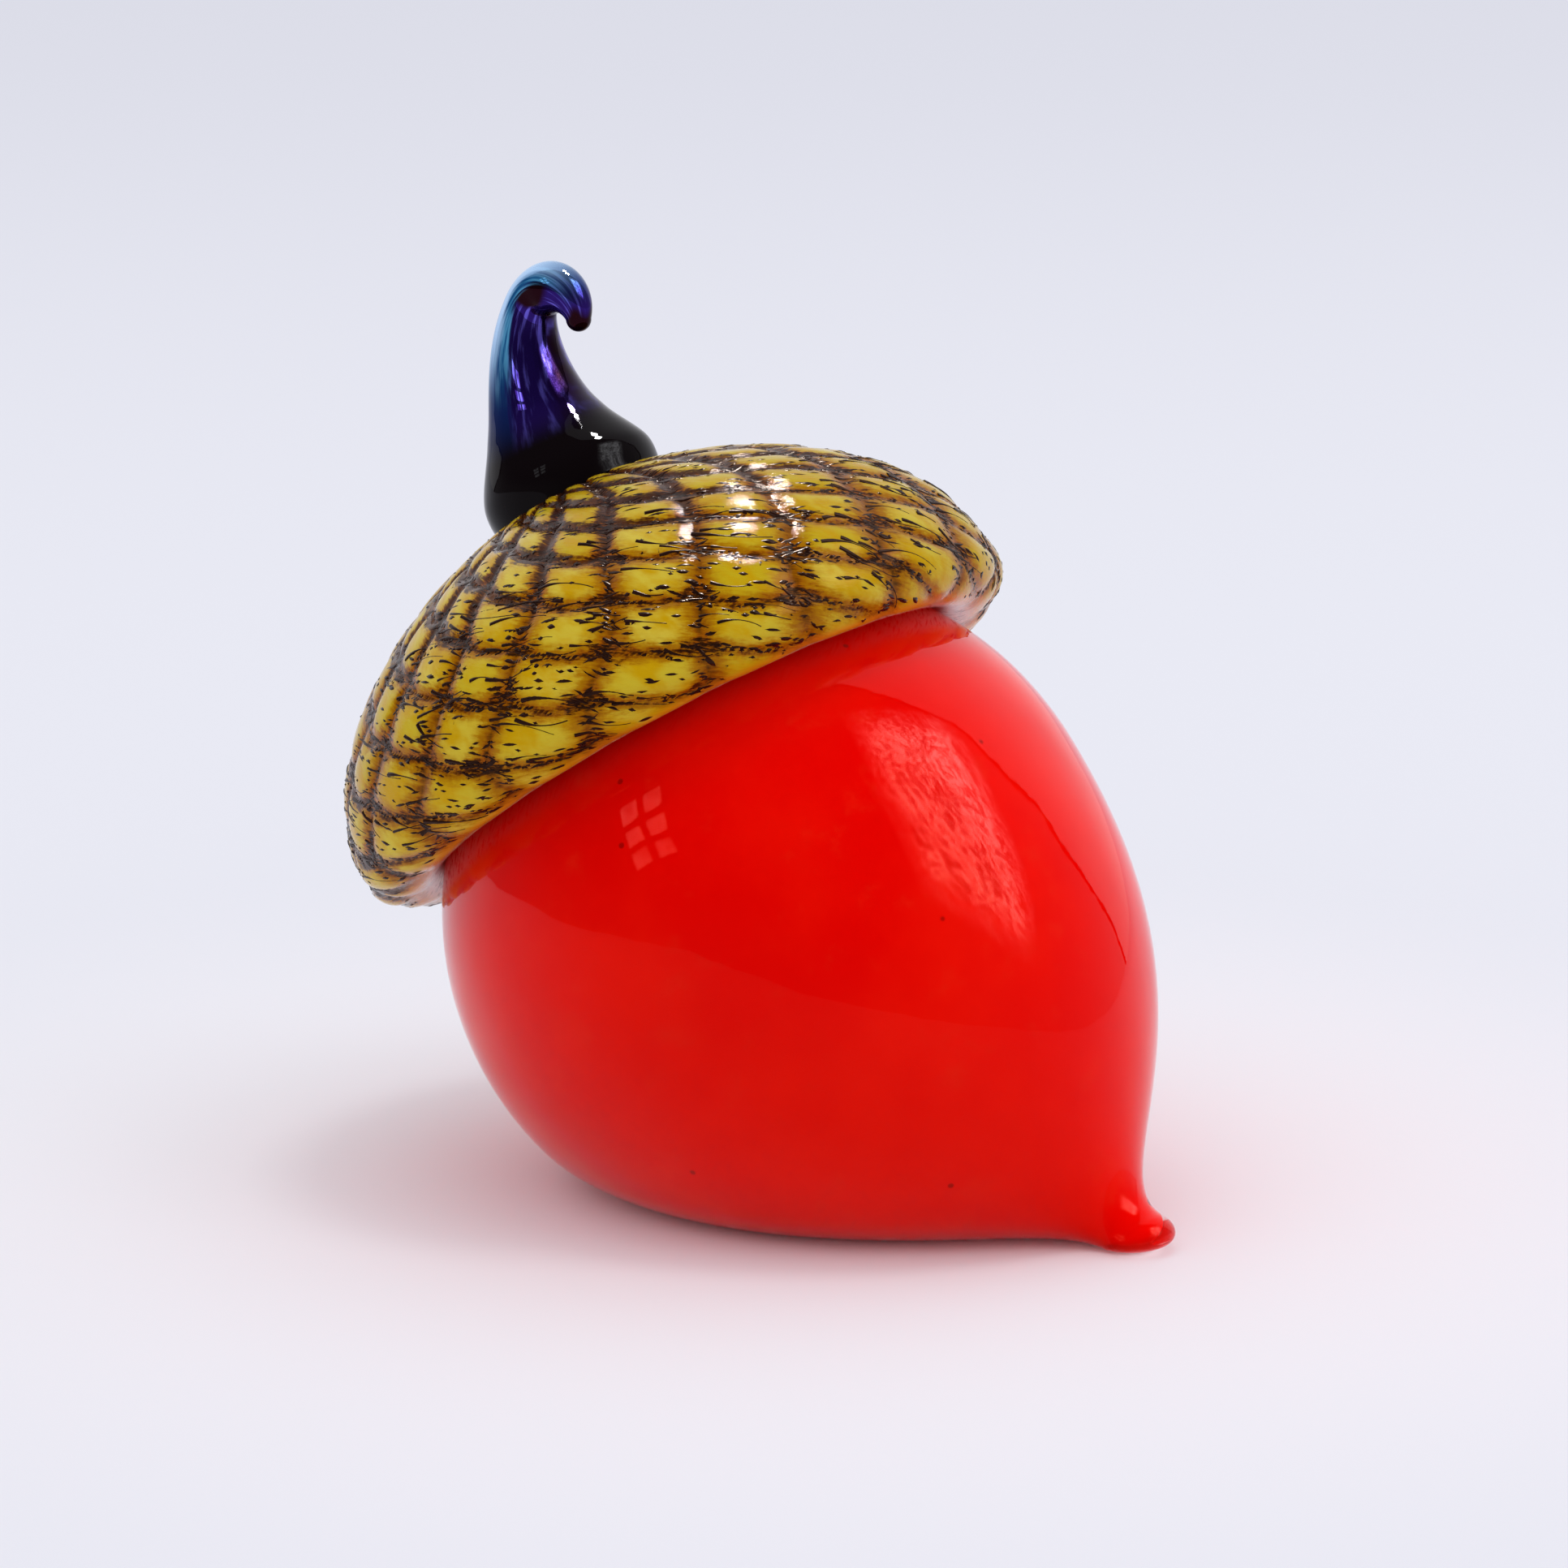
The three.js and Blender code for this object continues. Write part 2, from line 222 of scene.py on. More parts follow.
CASING_CLEAR = colour(255, 250, 249)
RED = colour(245, 4, 1)
RED_CLOUD = colour(252, 16, 3)
RED_STREAK = colour(252, 60, 30)
RED_SEED = colour(110, 4, 2)
CELL_PALE = colour(212, 190, 66)
CELL_DEEP = colour(194, 168, 26)
CELL_CLOUD = colour(196, 154, 10)
CELL_AMBER = colour(168, 116, 9)
CELL_EDGE = colour(136, 74, 5)
CELL_EDGE_LOW = colour(152, 78, 7)
COLUMN_OLIVE = colour(98, 66, 6)
COLUMN_BROWN = colour(78, 37, 11)
GROOVE_LOW = colour(46, 20, 8)
GROOVE_HIGH = colour(40, 16, 11)
KNOT = colour(28, 12, 9)
LIP_ORANGE = colour(214, 130, 24)
# painted reflection: pale colour and its darker mottling for the lip's underside, as the pale floor and room
# reflected there
LIP_PAINTED_REFLECTION = colour(226, 216, 206)
LIP_PAINTED_REFLECTION_MOTTLE = colour(126, 92, 84)
FRIT_BLACK = colour(18, 8, 7)
FRIT_BROWN = colour(48, 21, 16)
VIOLET = colour(44, 24, 104)
VIOLET_BRIGHT = colour(104, 92, 204)
MAROON = colour(36, 9, 18)
# painted reflection: dark colour for the inner side of the stem's curve
MAROON_PAINTED_DARK_REFLECTION = colour(30, 8, 14)
# painted reflection: blue and silver colours of the stem's lustre reflecting the pale room, along the outer
# side of its curve
BLUE_PAINTED_SHEEN = colour(24, 84, 138)
PALE_BLUE_PAINTED_SHEEN = colour(84, 158, 200)
LOW_BLUE_PAINTED_SHEEN = colour(18, 36, 88)
SILVER_PAINTED_REFLECTION = colour(178, 212, 248)
STEM_FOOT = colour(14, 9, 11)
LINING = colour(232, 222, 184)
LINING_CLOUD = colour(214, 202, 150)
ADHESIVE = colour(240, 238, 230)
ADHESIVE_CLOUD = colour(226, 222, 208)
PAPER = colour(236, 237, 243)
PAPER_FAR = colour(229, 230, 237)
# painted light: the paper's colour for a painted glow close round the object
PAPER_PAINTED_GLOW = colour(249, 248, 252)
ROOM = colour(250, 250, 255)


def new_finish(name, **values):
    """A material with one Principled shader, and its tree."""
    material = bpy.data.materials.new(name)
    material.use_nodes = True
    tree = material.node_tree
    tree.nodes.clear()
    shader = add(tree, "ShaderNodeBsdfPrincipled")
    for label, value in values.items():
        shader.inputs[label.replace("_", " ")].default_value = value
    output = add(tree, "ShaderNodeOutputMaterial")
    tree.links.new(shader.outputs[0], output.inputs["Surface"])
    return material, tree, shader


def object_place(tree):
    return out(add(tree, "ShaderNodeTexCoord"), "Object")


def attribute(tree, name):
    return out(add(tree, "ShaderNodeAttribute", attribute_name=name), "Fac")


def clouded_colour():
    """A shader node group that turns one colour into another in soft clouds."""
    group = bpy.data.node_groups.new("clouded_colour", "ShaderNodeTree")
    for label, kind in (("Scale", "Float"), ("Detail", "Float"), ("First", "Color"), ("Second", "Color")):
        group.interface.new_socket(label, in_out="INPUT", socket_type="NodeSocket" + kind)
    group.interface.new_socket("Color", in_out="OUTPUT", socket_type="NodeSocketColor")
    given = add(group, "NodeGroupInput").outputs
    cloud = noise(group, object_place(group), given["Scale"], given["Detail"])
    add(group, "NodeGroupOutput", {"Color": tint(group, cloud, given["First"], given["Second"])})
    return group


clouds = clouded_colour()


def clouded(tree, shader, scale, detail, first, second):
    """Clouds of two colours on a shader."""
    inputs = {"Scale": scale, "Detail": detail, "First": first, "Second": second}
    node = add(tree, "ShaderNodeGroup", inputs, node_tree=clouds)
    tree.links.new(out(node), shader.inputs["Base Color"])


def bump(tree, shader, height, depth):
    """Relief of the given depth, in millimetres, on a shader."""
    node = add(tree, "ShaderNodeBump", {"Height": height, "Distance": depth * MM, "Strength": 1.0})
    tree.links.new(out(node), shader.inputs["Normal"])


# Meshes

def ring_faces(rings, sides):
    """Faces that join each ring of points to the next one, and close the first and last ring with the two
    points that come after the rings."""
    faces = []
    for low in range(0, (rings - 1) * sides, sides):
        for side in range(sides):
            after = (side + 1) % sides
            faces.append((low + side, low + after, low + sides + after, low + sides + side))
    for pole, ring in ((rings * sides, 0), (rings * sides + 1, (rings - 1) * sides)):
        faces += [(pole, ring + side, ring + (side + 1) % sides) for side in range(sides)]
    return faces


def new_object(name, data):
    made = bpy.data.objects.new(name, data)
    bpy.context.scene.collection.objects.link(made)
    return made


def new_piece(name, points, faces, material, values=None):
    """A smooth mesh object from points in millimetres, with the given values on its points."""
    mesh = bpy.data.meshes.new(name)
    mesh.from_pydata(np.asarray(points) * MM, [], faces)
    for label, numbers in (values or {}).items():
        layer = mesh.attributes.new(label, "FLOAT", "POINT")
        layer.data.foreach_set("value", np.asarray(numbers, np.float32))
    made = bmesh.new()
    made.from_mesh(mesh)
    bmesh.ops.recalc_face_normals(made, faces=made.faces)
    made.to_mesh(mesh)
    made.free()
    mesh.shade_smooth()
    mesh.materials.append(material)
    return new_object(name, mesh)


def bezier(share, a, b, c, d):
    t = share[:, None]
    return (1 - t) ** 3 * a + 3 * (1 - t) ** 2 * t * b + 3 * (1 - t) * t ** 2 * c + t ** 3 * d


def arc(start, end, steps):
    """Cosines and sines of angles from start to end."""
    turns = np.linspace(start, end, steps + 1)
    return np.column_stack([np.cos(turns), np.sin(turns)])


# Geometry Nodes

def new_nodes(name, inputs):
    """A Geometry Nodes tree with named inputs, its input sockets and the socket for its result."""
    tree = bpy.data.node_groups.new(name, "GeometryNodeTree")
    tree.interface.new_socket("Geometry", in_out="INPUT", socket_type="NodeSocketGeometry")
    tree.interface.new_socket("Geometry", in_out="OUTPUT", socket_type="NodeSocketGeometry")
    for label, kind in inputs.items():
        tree.interface.new_socket(label, in_out="INPUT", socket_type="NodeSocket" + kind)
    given = tree.nodes.new("NodeGroupInput").outputs
    result = tree.nodes.new("NodeGroupOutput").inputs[0]
    return tree, given, result


def finish_nodes(tree, geometry, material, result):
    """The end of a tree: plain mesh with its material."""
    smooth = out(add(tree, "GeometryNodeSetShadeSmooth", {"Geometry": geometry}))
    real = out(add(tree, "GeometryNodeRealizeInstances", {"Geometry": smooth}))
    painted = out(add(tree, "GeometryNodeSetMaterial", {"Geometry": real, "Material": material}))
    tree.links.new(painted, result)


def run_nodes(piece, tree, values):
    """Replaces a piece's mesh by what the tree makes of it."""
    modifier = piece.modifiers.new(tree.name, "NODES")
    modifier.node_group = tree
    for item in tree.interface.items_tree:
        if item.in_out == "INPUT" and item.name in values:
            modifier[item.identifier] = values[item.name]
    evaluated = piece.evaluated_get(bpy.context.evaluated_depsgraph_get())
    made = bpy.data.meshes.new_from_object(evaluated)
    piece.modifiers.remove(modifier)
    piece.data = made


def stored(tree, name):
    node = add(tree, "GeometryNodeInputNamedAttribute", {"Name": name}, data_type="FLOAT")
    return out(node, "Attribute")


def store(tree, geometry, name, value):
    inputs = {"Geometry": geometry, "Name": name, "Value": value}
    return out(add(tree, "GeometryNodeStoreNamedAttribute", inputs, data_type="FLOAT", domain="POINT"))


def chance(tree, low, high, seed):
    inputs = {"Min": low, "Max": high, "Seed": seed}
    return out(add(tree, "FunctionNodeRandomValue", inputs, data_type="FLOAT"))


# Nut

def nut_outline(inset, nose_reach, nose_radius, waist):
    """One surface of the nut from its nose to the neck, as distance off its axis and reach to the nose."""
    back = NUT_RADIUS - inset
    turn = math.radians(SHOULDER_TURN)
    neck_turn = math.asin(NECK_RADIUS / back)
    shoulder = back * np.array([math.sin(turn), math.cos(turn)])
    pull = (SHOULDER_PULL - inset) * np.array([-math.cos(turn), math.sin(turn)])
    nose = arc(math.pi / 2, 0, NOSE_STEPS) * nose_radius + np.array([0, nose_reach])
    flank = bezier(
        np.linspace(0, 1, FLANK_STEPS + 1),
        np.array([nose_radius, nose_reach]),
        np.array([nose_radius - waist, nose_reach - NUB_PULL]),
        shoulder + pull,
        shoulder,
    )
    round_back = arc(math.pi / 2 - turn, neck_turn - math.pi / 2, BACK_STEPS) * back
    return np.vstack([nose, flank[1:], round_back[1:]])


def pressed_flat(heights, level):
    above = np.clip(heights - level, -BELLY_BLEND, BELLY_BLEND)
    eased = level + (above + BELLY_BLEND) ** 2 / (4 * BELLY_BLEND)
    return np.where(heights - level >= BELLY_BLEND, heights, eased)


def nut_surface(outline, level, spread=0):
    """Points of the outline turned about the nut's axis, bent up at the nose, pressed flat underneath and
    spread outward near the flat."""
    axis = np.array([math.cos(nose_dip), 0, -math.sin(nose_dip)])
    over = np.array([math.sin(nose_dip), 0, math.cos(nose_dip)])
    aside = np.array([0, 1, 0])
    turns = np.linspace(0, 2 * math.pi, NUT_SIDES, endpoint=False)[None, :, None]
    off_axis = outline[:, 0, None, None]
    reach = outline[:, 1, None, None]
    points = reach * axis + off_axis * (np.cos(turns) * over + np.sin(turns) * aside)
    bent = nose_lift * (np.maximum(0, reach[..., 0]) / NOSE_REACH) ** 2
    points[..., 2] = pressed_flat(points[..., 2] + nut_middle + bent, level)
    low = np.clip(1 - points[..., 2] / COLOUR_SPREAD_HEIGHT, 0, 1)
    back = np.clip(1 + (COLOUR_SPREAD_END - points[..., 0]) / COLOUR_SPREAD_HEIGHT, 0, 1)
    from_middle = np.maximum(1, np.hypot(points[..., 0], points[..., 1]))
    points[..., :2] *= (1 + spread * low * back / from_middle)[..., None]
    return points


def nut_layer(name, outer, outer_level, inner, inner_level, material, spread=0):
    """A layer of the nut between two outlines, open at the neck."""
    outside = nut_surface(outer, outer_level, spread)
    inside = nut_surface(inner, inner_level)[::-1]
    rings = np.concatenate([outside[1:], inside[:-1]])
    points = np.vstack([rings.reshape(-1, 3), outside[0, :1], inside[-1, :1]])
    return new_piece(name, points, ring_faces(len(rings), NUT_SIDES), material)


def clear_casing_finish():
    """Clear glass that lets lamps through to the colour under it."""
    material, tree, shader = new_finish(
        "clear_casing", Base_Color=CASING_CLEAR, Roughness=0.0, IOR=1.36, Transmission_Weight=1.0,
        Specular_Tint=(1, 0.2, 0.14, 1),
    )
    place = object_place(tree)
    wave = noise(tree, place, 55, 1)
    ripple = noise(tree, place, 260, 3)
    height = calc(tree, "MULTIPLY_ADD", ripple, 0.06, wave)
    bump(tree, shader, height, 0.25)
    through = add(tree, "ShaderNodeBsdfTransparent")
    lamps = out(add(tree, "ShaderNodeLightPath"), "Is Shadow Ray")
    mixed = add(tree, "ShaderNodeMixShader", {0: lamps, 1: shader.outputs[0], 2: through.outputs[0]})
    output = next(n for n in tree.nodes if n.type == "OUTPUT_MATERIAL")
    tree.links.new(out(mixed), output.inputs["Surface"])
    return material


def red_colour_finish():
    """Dense red glass with faint clouds, pale streaks and a few dark seeds."""
    material, tree, shader = new_finish("red_colour", Roughness=0.4, Specular_IOR_Level=0.0)
    place = object_place(tree)
    cloud = ease(tree, noise(tree, place, 42, 4, 0.6), 0.35, 0.7)
    body = tint(tree, cloud, RED, RED_CLOUD)
    streak = ease(tree, noise(tree, place, 150, 5, 0.65), 0.56, 0.74)
    body = tint(tree, times(tree, streak, 0.18), body, RED_STREAK)
    seeds = add(tree, "ShaderNodeTexVoronoi", {"Vector": place, "Scale": 95.0}, feature="F1")
    seed = ease(tree, out(seeds, "Distance"), 0.025, 0.05, 0.55, 0.0)
    body = tint(tree, seed, body, RED_SEED)
    tree.links.new(body, shader.inputs["Base Color"])
    return material


def make_nut():
    colour_reach = NOSE_REACH - TIP_GLASS
    skin = nut_outline(0, NOSE_REACH, NUB_RADIUS, NUB_WAIST)
    colour_skin = nut_outline(CASING_WALL, colour_reach, COLOUR_NOSE_RADIUS, COLOUR_WAIST)
    hidden = CASING_WALL + LAYERS_FUSED
    hidden_radius = COLOUR_NOSE_RADIUS - LAYERS_FUSED
    hidden_skin = nut_outline(hidden, colour_reach, hidden_radius, COLOUR_WAIST)
    bubble = CASING_WALL + CORE_WALL
    bubble_skin = nut_outline(bubble, colour_reach - COLOUR_TIP, BUBBLE_NOSE_RADIUS, 0)
    casing = nut_layer("casing", skin, 0, hidden_skin, FLAT_GLASS + LAYERS_FUSED, clear_casing_finish())
    red = red_colour_finish()
    core = nut_layer("red_core", colour_skin, FLAT_GLASS, bubble_skin, bubble, red, COLOUR_SPREAD)
    return casing, core


# Cap

def lip_points(steps):
    middle = np.array([CAP_RADIUS - LIP_HALF_WIDTH, 0])
    return middle + arc(math.pi / 2, 2 * math.pi, steps) * np.array([LIP_HALF_WIDTH, LIP_HALF_HEIGHT])


def dome_points(steep, inset):
    across = (CAP_RADIUS - inset) * np.sin(steep) ** DOME_POWER_ACROSS
    up = (CAP_HEIGHT - inset) * np.maximum(0, np.cos(steep)) ** DOME_POWER_UP
    return np.column_stack([across, up])


def cap_seat():
    """How far up the cap's axis its widest ring sits from the nut's middle, with its lip on the nut."""
    lip = lip_points(LIP_STEPS)
    reach = (NUT_RADIUS + SEAT_GAP) ** 2 - lip[:, 0] ** 2
    return float(np.max(np.sqrt(np.maximum(0, reach)) - lip[:, 1]))


cap_axis = np.array([-math.sin(cap_lean), 0, math.cos(cap_lean)])
cap_across = np.array([math.cos(cap_lean), 0, math.sin(cap_lean)])
cap_middle = np.array([0, 0, nut_middle]) + cap_seat() * cap_axis


def from_cap(points):
    """Points of the cap's own frame in the part's frame."""
    x, y, z = points[..., 0, None], points[..., 1, None], points[..., 2, None]
    return cap_middle + x * cap_across + y * np.array([0, 1, 0]) + z * cap_axis


def cap_outline():
    """The cap's section from the inside of its top, round the lip and up to the crown, and each point's rows
    from the rim: 0 at the widest ring, -1 at the bottom of the lip and CELL_ROWS where the cells end."""
    lowest = math.acos((LIP_HALF_HEIGHT / (CAP_HEIGHT - CAP_WALL)) ** (1 / DOME_POWER_UP))
    inside = dome_points(np.linspace(0, lowest, INSIDE_STEPS + 1), CAP_WALL)
    lip = lip_points(LIP_STEPS)
    start = math.asin((CELL_START_RADIUS / CAP_RADIUS) ** (1 / DOME_POWER_ACROSS))
    span = (math.pi / 2 - start) / CELL_ROWS
    cells = np.linspace(math.pi / 2, start, CELL_ROWS * STEPS_PER_CELL + 1)[1:]
    crown = np.linspace(start, 0, CROWN_STEPS + 1)[1:]
    steep = np.concatenate([cells, crown])
    rows = np.concatenate([
        np.full(len(inside), -LIP_ROWS),
        np.linspace(-LIP_ROWS, 0, LIP_STEPS + 1),
        (math.pi / 2 - steep) / span,
    ])
    return np.vstack([inside, lip, dome_points(steep, 0)]), rows


def cell_turn(column, from_rim):
    """The angle round the cap's axis of a column at so many rows from the rim."""
    even = np.radians(CELL_TURN + CELL_TWIST * from_rim) + column / CELL_COLUMNS * 2 * math.pi
    spread = np.radians(SPREAD_RIM + SPREAD_ROW * from_rim)
    return even + spread * np.sin(even - math.radians(SPREAD_SIDE))


def moulded_cells():
    """Presses pillow cells into a turned cap, and keeps how near each point is to their grooves. One set of
    grooves follows the columns, and the other crosses one column with each row."""
    tree, given, result = new_nodes("moulded_cells", {
        "Columns": "Float", "Rows": "Float", "Groove Depth": "Float", "Unevenness": "Float",
        "Sag": "Float", "Material": "Material",
    })
    even_column = stored(tree, "column")
    rim = stored(tree, "from_rim")
    place = out(add(tree, "GeometryNodeInputPosition"))
    sway = calc(tree, "SUBTRACT", noise(tree, place, UNEVEN_SCALE, 3), 0.5)
    shifted = vector_calc(tree, "ADD", place, UNEVEN_SHIFT)
    lift = calc(tree, "SUBTRACT", noise(tree, shifted, UNEVEN_SCALE, 3), 0.5)
    column = calc(tree, "MULTIPLY_ADD", sway, given["Unevenness"], even_column)
    crossing = calc(tree, "ADD", even_column, rim)
    wavy = calc(tree, "MULTIPLY_ADD", lift, given["Unevenness"], crossing)

    def to_groove(value):
        centred = calc(tree, "MULTIPLY_ADD", calc(tree, "FRACT", value), 2.0, -1.0)
        return calc(tree, "ABSOLUTE", centred)

    across = to_groove(column)
    sag = calc(tree, "SUBTRACT", 1.0, calc(tree, "POWER", across, 2.0))
    row = calc(tree, "MULTIPLY_ADD", sag, given["Sag"], wavy)
    along = to_groove(row)
    upward = calc(tree, "FRACT", row)
    high_across = calc(tree, "SUBTRACT", 1.0, calc(tree, "POWER", across, 3.0))
    high_along = calc(tree, "SUBTRACT", 1.0, calc(tree, "POWER", along, 3.0))
    pillow = times(tree, high_across, high_along)
    at_lip = ease(tree, rim, *LIP_FADE)
    at_crown = ease(tree, calc(tree, "SUBTRACT", given["Rows"], rim), *CROWN_FADE)
    sunk = times(tree, calc(tree, "SUBTRACT", 1.0, pillow), times(tree, at_lip, at_crown))
    depth = times(tree, sunk, given["Groove Depth"], -1.0)
    offset = scaled(tree, out(add(tree, "GeometryNodeInputNormal")), depth)

    def numbered(value):
        return calc(tree, "FLOORED_MODULO", calc(tree, "FLOOR", value), given["Columns"])

    cell = joined(tree, X=numbered(column), Y=numbered(row))
    luck = out(add(tree, "ShaderNodeTexWhiteNoise", {"Vector": cell}, noise_dimensions="3D"))
    shape = given["Geometry"]
    kept = {"across": across, "along": along, "upward": upward, "crossing": crossing, "cell": luck}
    for name, value in kept.items():
        shape = store(tree, shape, name, value)
    shape = out(add(tree, "GeometryNodeSetPosition", {"Geometry": shape, "Offset": offset}))
    finish_nodes(tree, shape, given["Material"], result)
    return tree


def scattered_frit():
    """Lays short drawn-out chips on the cap's skin, mostly along its rows and thickest in the grooves."""
    tree, given, result = new_nodes("scattered_frit", {
        "Density": "Float", "In Cells": "Float", "Shortest": "Float", "Longest": "Float", "Width": "Float",
        "Bow": "Float", "Slope": "Float", "Lean": "Float", "Head": "Float", "Steps": "Int",
        "Lowest Row": "Float", "Highest Row": "Float", "Sunk": "Float", "Axis": "Vector",
        "Middle": "Vector", "Seed": "Int", "Material": "Material",
    })
    skin = given["Geometry"]
    rim = stored(tree, "from_rim")
    across = calc(tree, "POWER", stored(tree, "across"), 5.0)
    along = calc(tree, "POWER", stored(tree, "along"), 4.0)
    knot = times(tree, across, along, 2.5)
    groove = calc(tree, "ADD", calc(tree, "MAXIMUM", across, along), knot)
    share = calc(tree, "ADD", groove, given["In Cells"])
    above = calc(tree, "GREATER_THAN", rim, given["Lowest Row"])
    below = calc(tree, "LESS_THAN", rim, given["Highest Row"])
    density = times(tree, given["Density"], share, times(tree, above, below))
    spread = add(
        tree, "GeometryNodeDistributePointsOnFaces",
        {"Mesh": skin, "Density": density, "Seed": given["Seed"]}, distribute_method="RANDOM",
    )
    thick = times(tree, given["Width"], chance(tree, 0.55, 1.0, 1))
    points = store(tree, out(spread, "Points"), "chip_width", thick)
    place = out(add(tree, "GeometryNodeInputPosition"))
    arm = vector_calc(tree, "SUBTRACT", place, given["Middle"])
    around = vector_calc(tree, "CROSS_PRODUCT", given["Axis"], arm)
    axes = {"Primary Axis": out(spread, "Normal"), "Secondary Axis": around}
    facing = out(add(tree, "FunctionNodeAxesToRotation", axes, primary_axis="Z", secondary_axis="X"))
    loose = times(tree, calc(tree, "MULTIPLY_ADD", across, 3.0, 1.0), given["Lean"])
    swing = calc(tree, "MULTIPLY_ADD", loose, chance(tree, -1.0, 1.0, 2), given["Slope"])
    swung = out(add(tree, "FunctionNodeAxisAngleToRotation", {"Axis": (0, 0, 1), "Angle": swing}))
    rotation = out(add(
        tree, "FunctionNodeRotateRotation",
        {"Rotation": facing, "Rotate By": swung}, rotation_space="LOCAL",
    ))
    skew = calc(tree, "POWER", chance(tree, 0.0, 1.0, 3), 1.6)
    longer = calc(tree, "SUBTRACT", given["Longest"], given["Shortest"])
    length = calc(tree, "MULTIPLY_ADD", skew, longer, given["Shortest"])
    bow = times(tree, length, chance(tree, -1.0, 1.0, 4))
    size = joined(tree, X=length, Y=bow, Z=1.0)
    bend = joined(tree, Y=given["Bow"])
    line = out(add(
        tree, "GeometryNodeCurveQuadraticBezier",
        {"Resolution": given["Steps"], "Start": (-0.5, 0, 0), "Middle": bend, "End": (0.5, 0, 0)},
    ))
    chips = out(add(
        tree, "GeometryNodeInstanceOnPoints",
        {"Points": points, "Instance": line, "Rotation": rotation, "Scale": size},
    ))
    lines = out(add(tree, "GeometryNodeRealizeInstances", {"Geometry": chips}))
    passed = out(add(tree, "GeometryNodeSplineParameter"), "Factor")
    centred = calc(tree, "ABSOLUTE", calc(tree, "MULTIPLY_ADD", passed, 2.0, -1.0))
    lens = calc(tree, "SUBTRACT", 1.05, calc(tree, "POWER", centred, 2.5))
    comet = ease(tree, passed, 0.1, 0.5, 1.0, 0.28)
    taper = calc(tree, "MULTIPLY_ADD", calc(tree, "SUBTRACT", comet, lens), given["Head"], lens)
    radius = times(tree, taper, stored(tree, "chip_width"))
    nearest = add(tree, "GeometryNodeProximity", {0: skin}, target_element="FACES")
    normal = out(add(tree, "GeometryNodeInputNormal"))
    skin_normal = out(add(
        tree, "GeometryNodeSampleNearestSurface", {"Mesh": skin, "Value": normal}, data_type="FLOAT_VECTOR",
    ))
    sink = scaled(tree, skin_normal, times(tree, radius, times(tree, given["Sunk"], -1.0)))
    lines = out(add(
        tree, "GeometryNodeSetPosition",
        {"Geometry": lines, "Position": out(nearest, "Position"), "Offset": sink},
    ))
    ring = {"Resolution": FRIT_SIDES, "Radius": 1.0}
    section = out(add(tree, "GeometryNodeCurvePrimitiveCircle", ring, mode="RADIUS"))
    solid = out(add(
        tree, "GeometryNodeCurveToMesh",
        {"Curve": lines, "Profile Curve": section, "Scale": radius, "Fill Caps": True},
    ))
    finish_nodes(tree, solid, given["Material"], result)
    return tree


def in_cap_frame(tree):
    """Places in the cap's own frame, in metres, with its axis along Z."""
    inputs = {
        "Vector": object_place(tree),
        "Location": tuple(cap_middle * MM),
        "Rotation": (0, -cap_lean, 0),
    }
    return out(add(tree, "ShaderNodeMapping", inputs, vector_type="TEXTURE"))


def around_cap(tree, turns, rows):
    """Places that run quickly across the slanting rows and slowly along them, for drawn-out streaks."""
    parts = add(tree, "ShaderNodeSeparateXYZ", {0: in_cap_frame(tree)}).outputs
    side = vector_calc(tree, "NORMALIZE", joined(tree, X=parts[0], Y=parts[1]))
    lifted = joined(tree, Z=times(tree, attribute(tree, "crossing"), rows))
    return vector_calc(tree, "ADD", scaled(tree, side, turns), lifted)


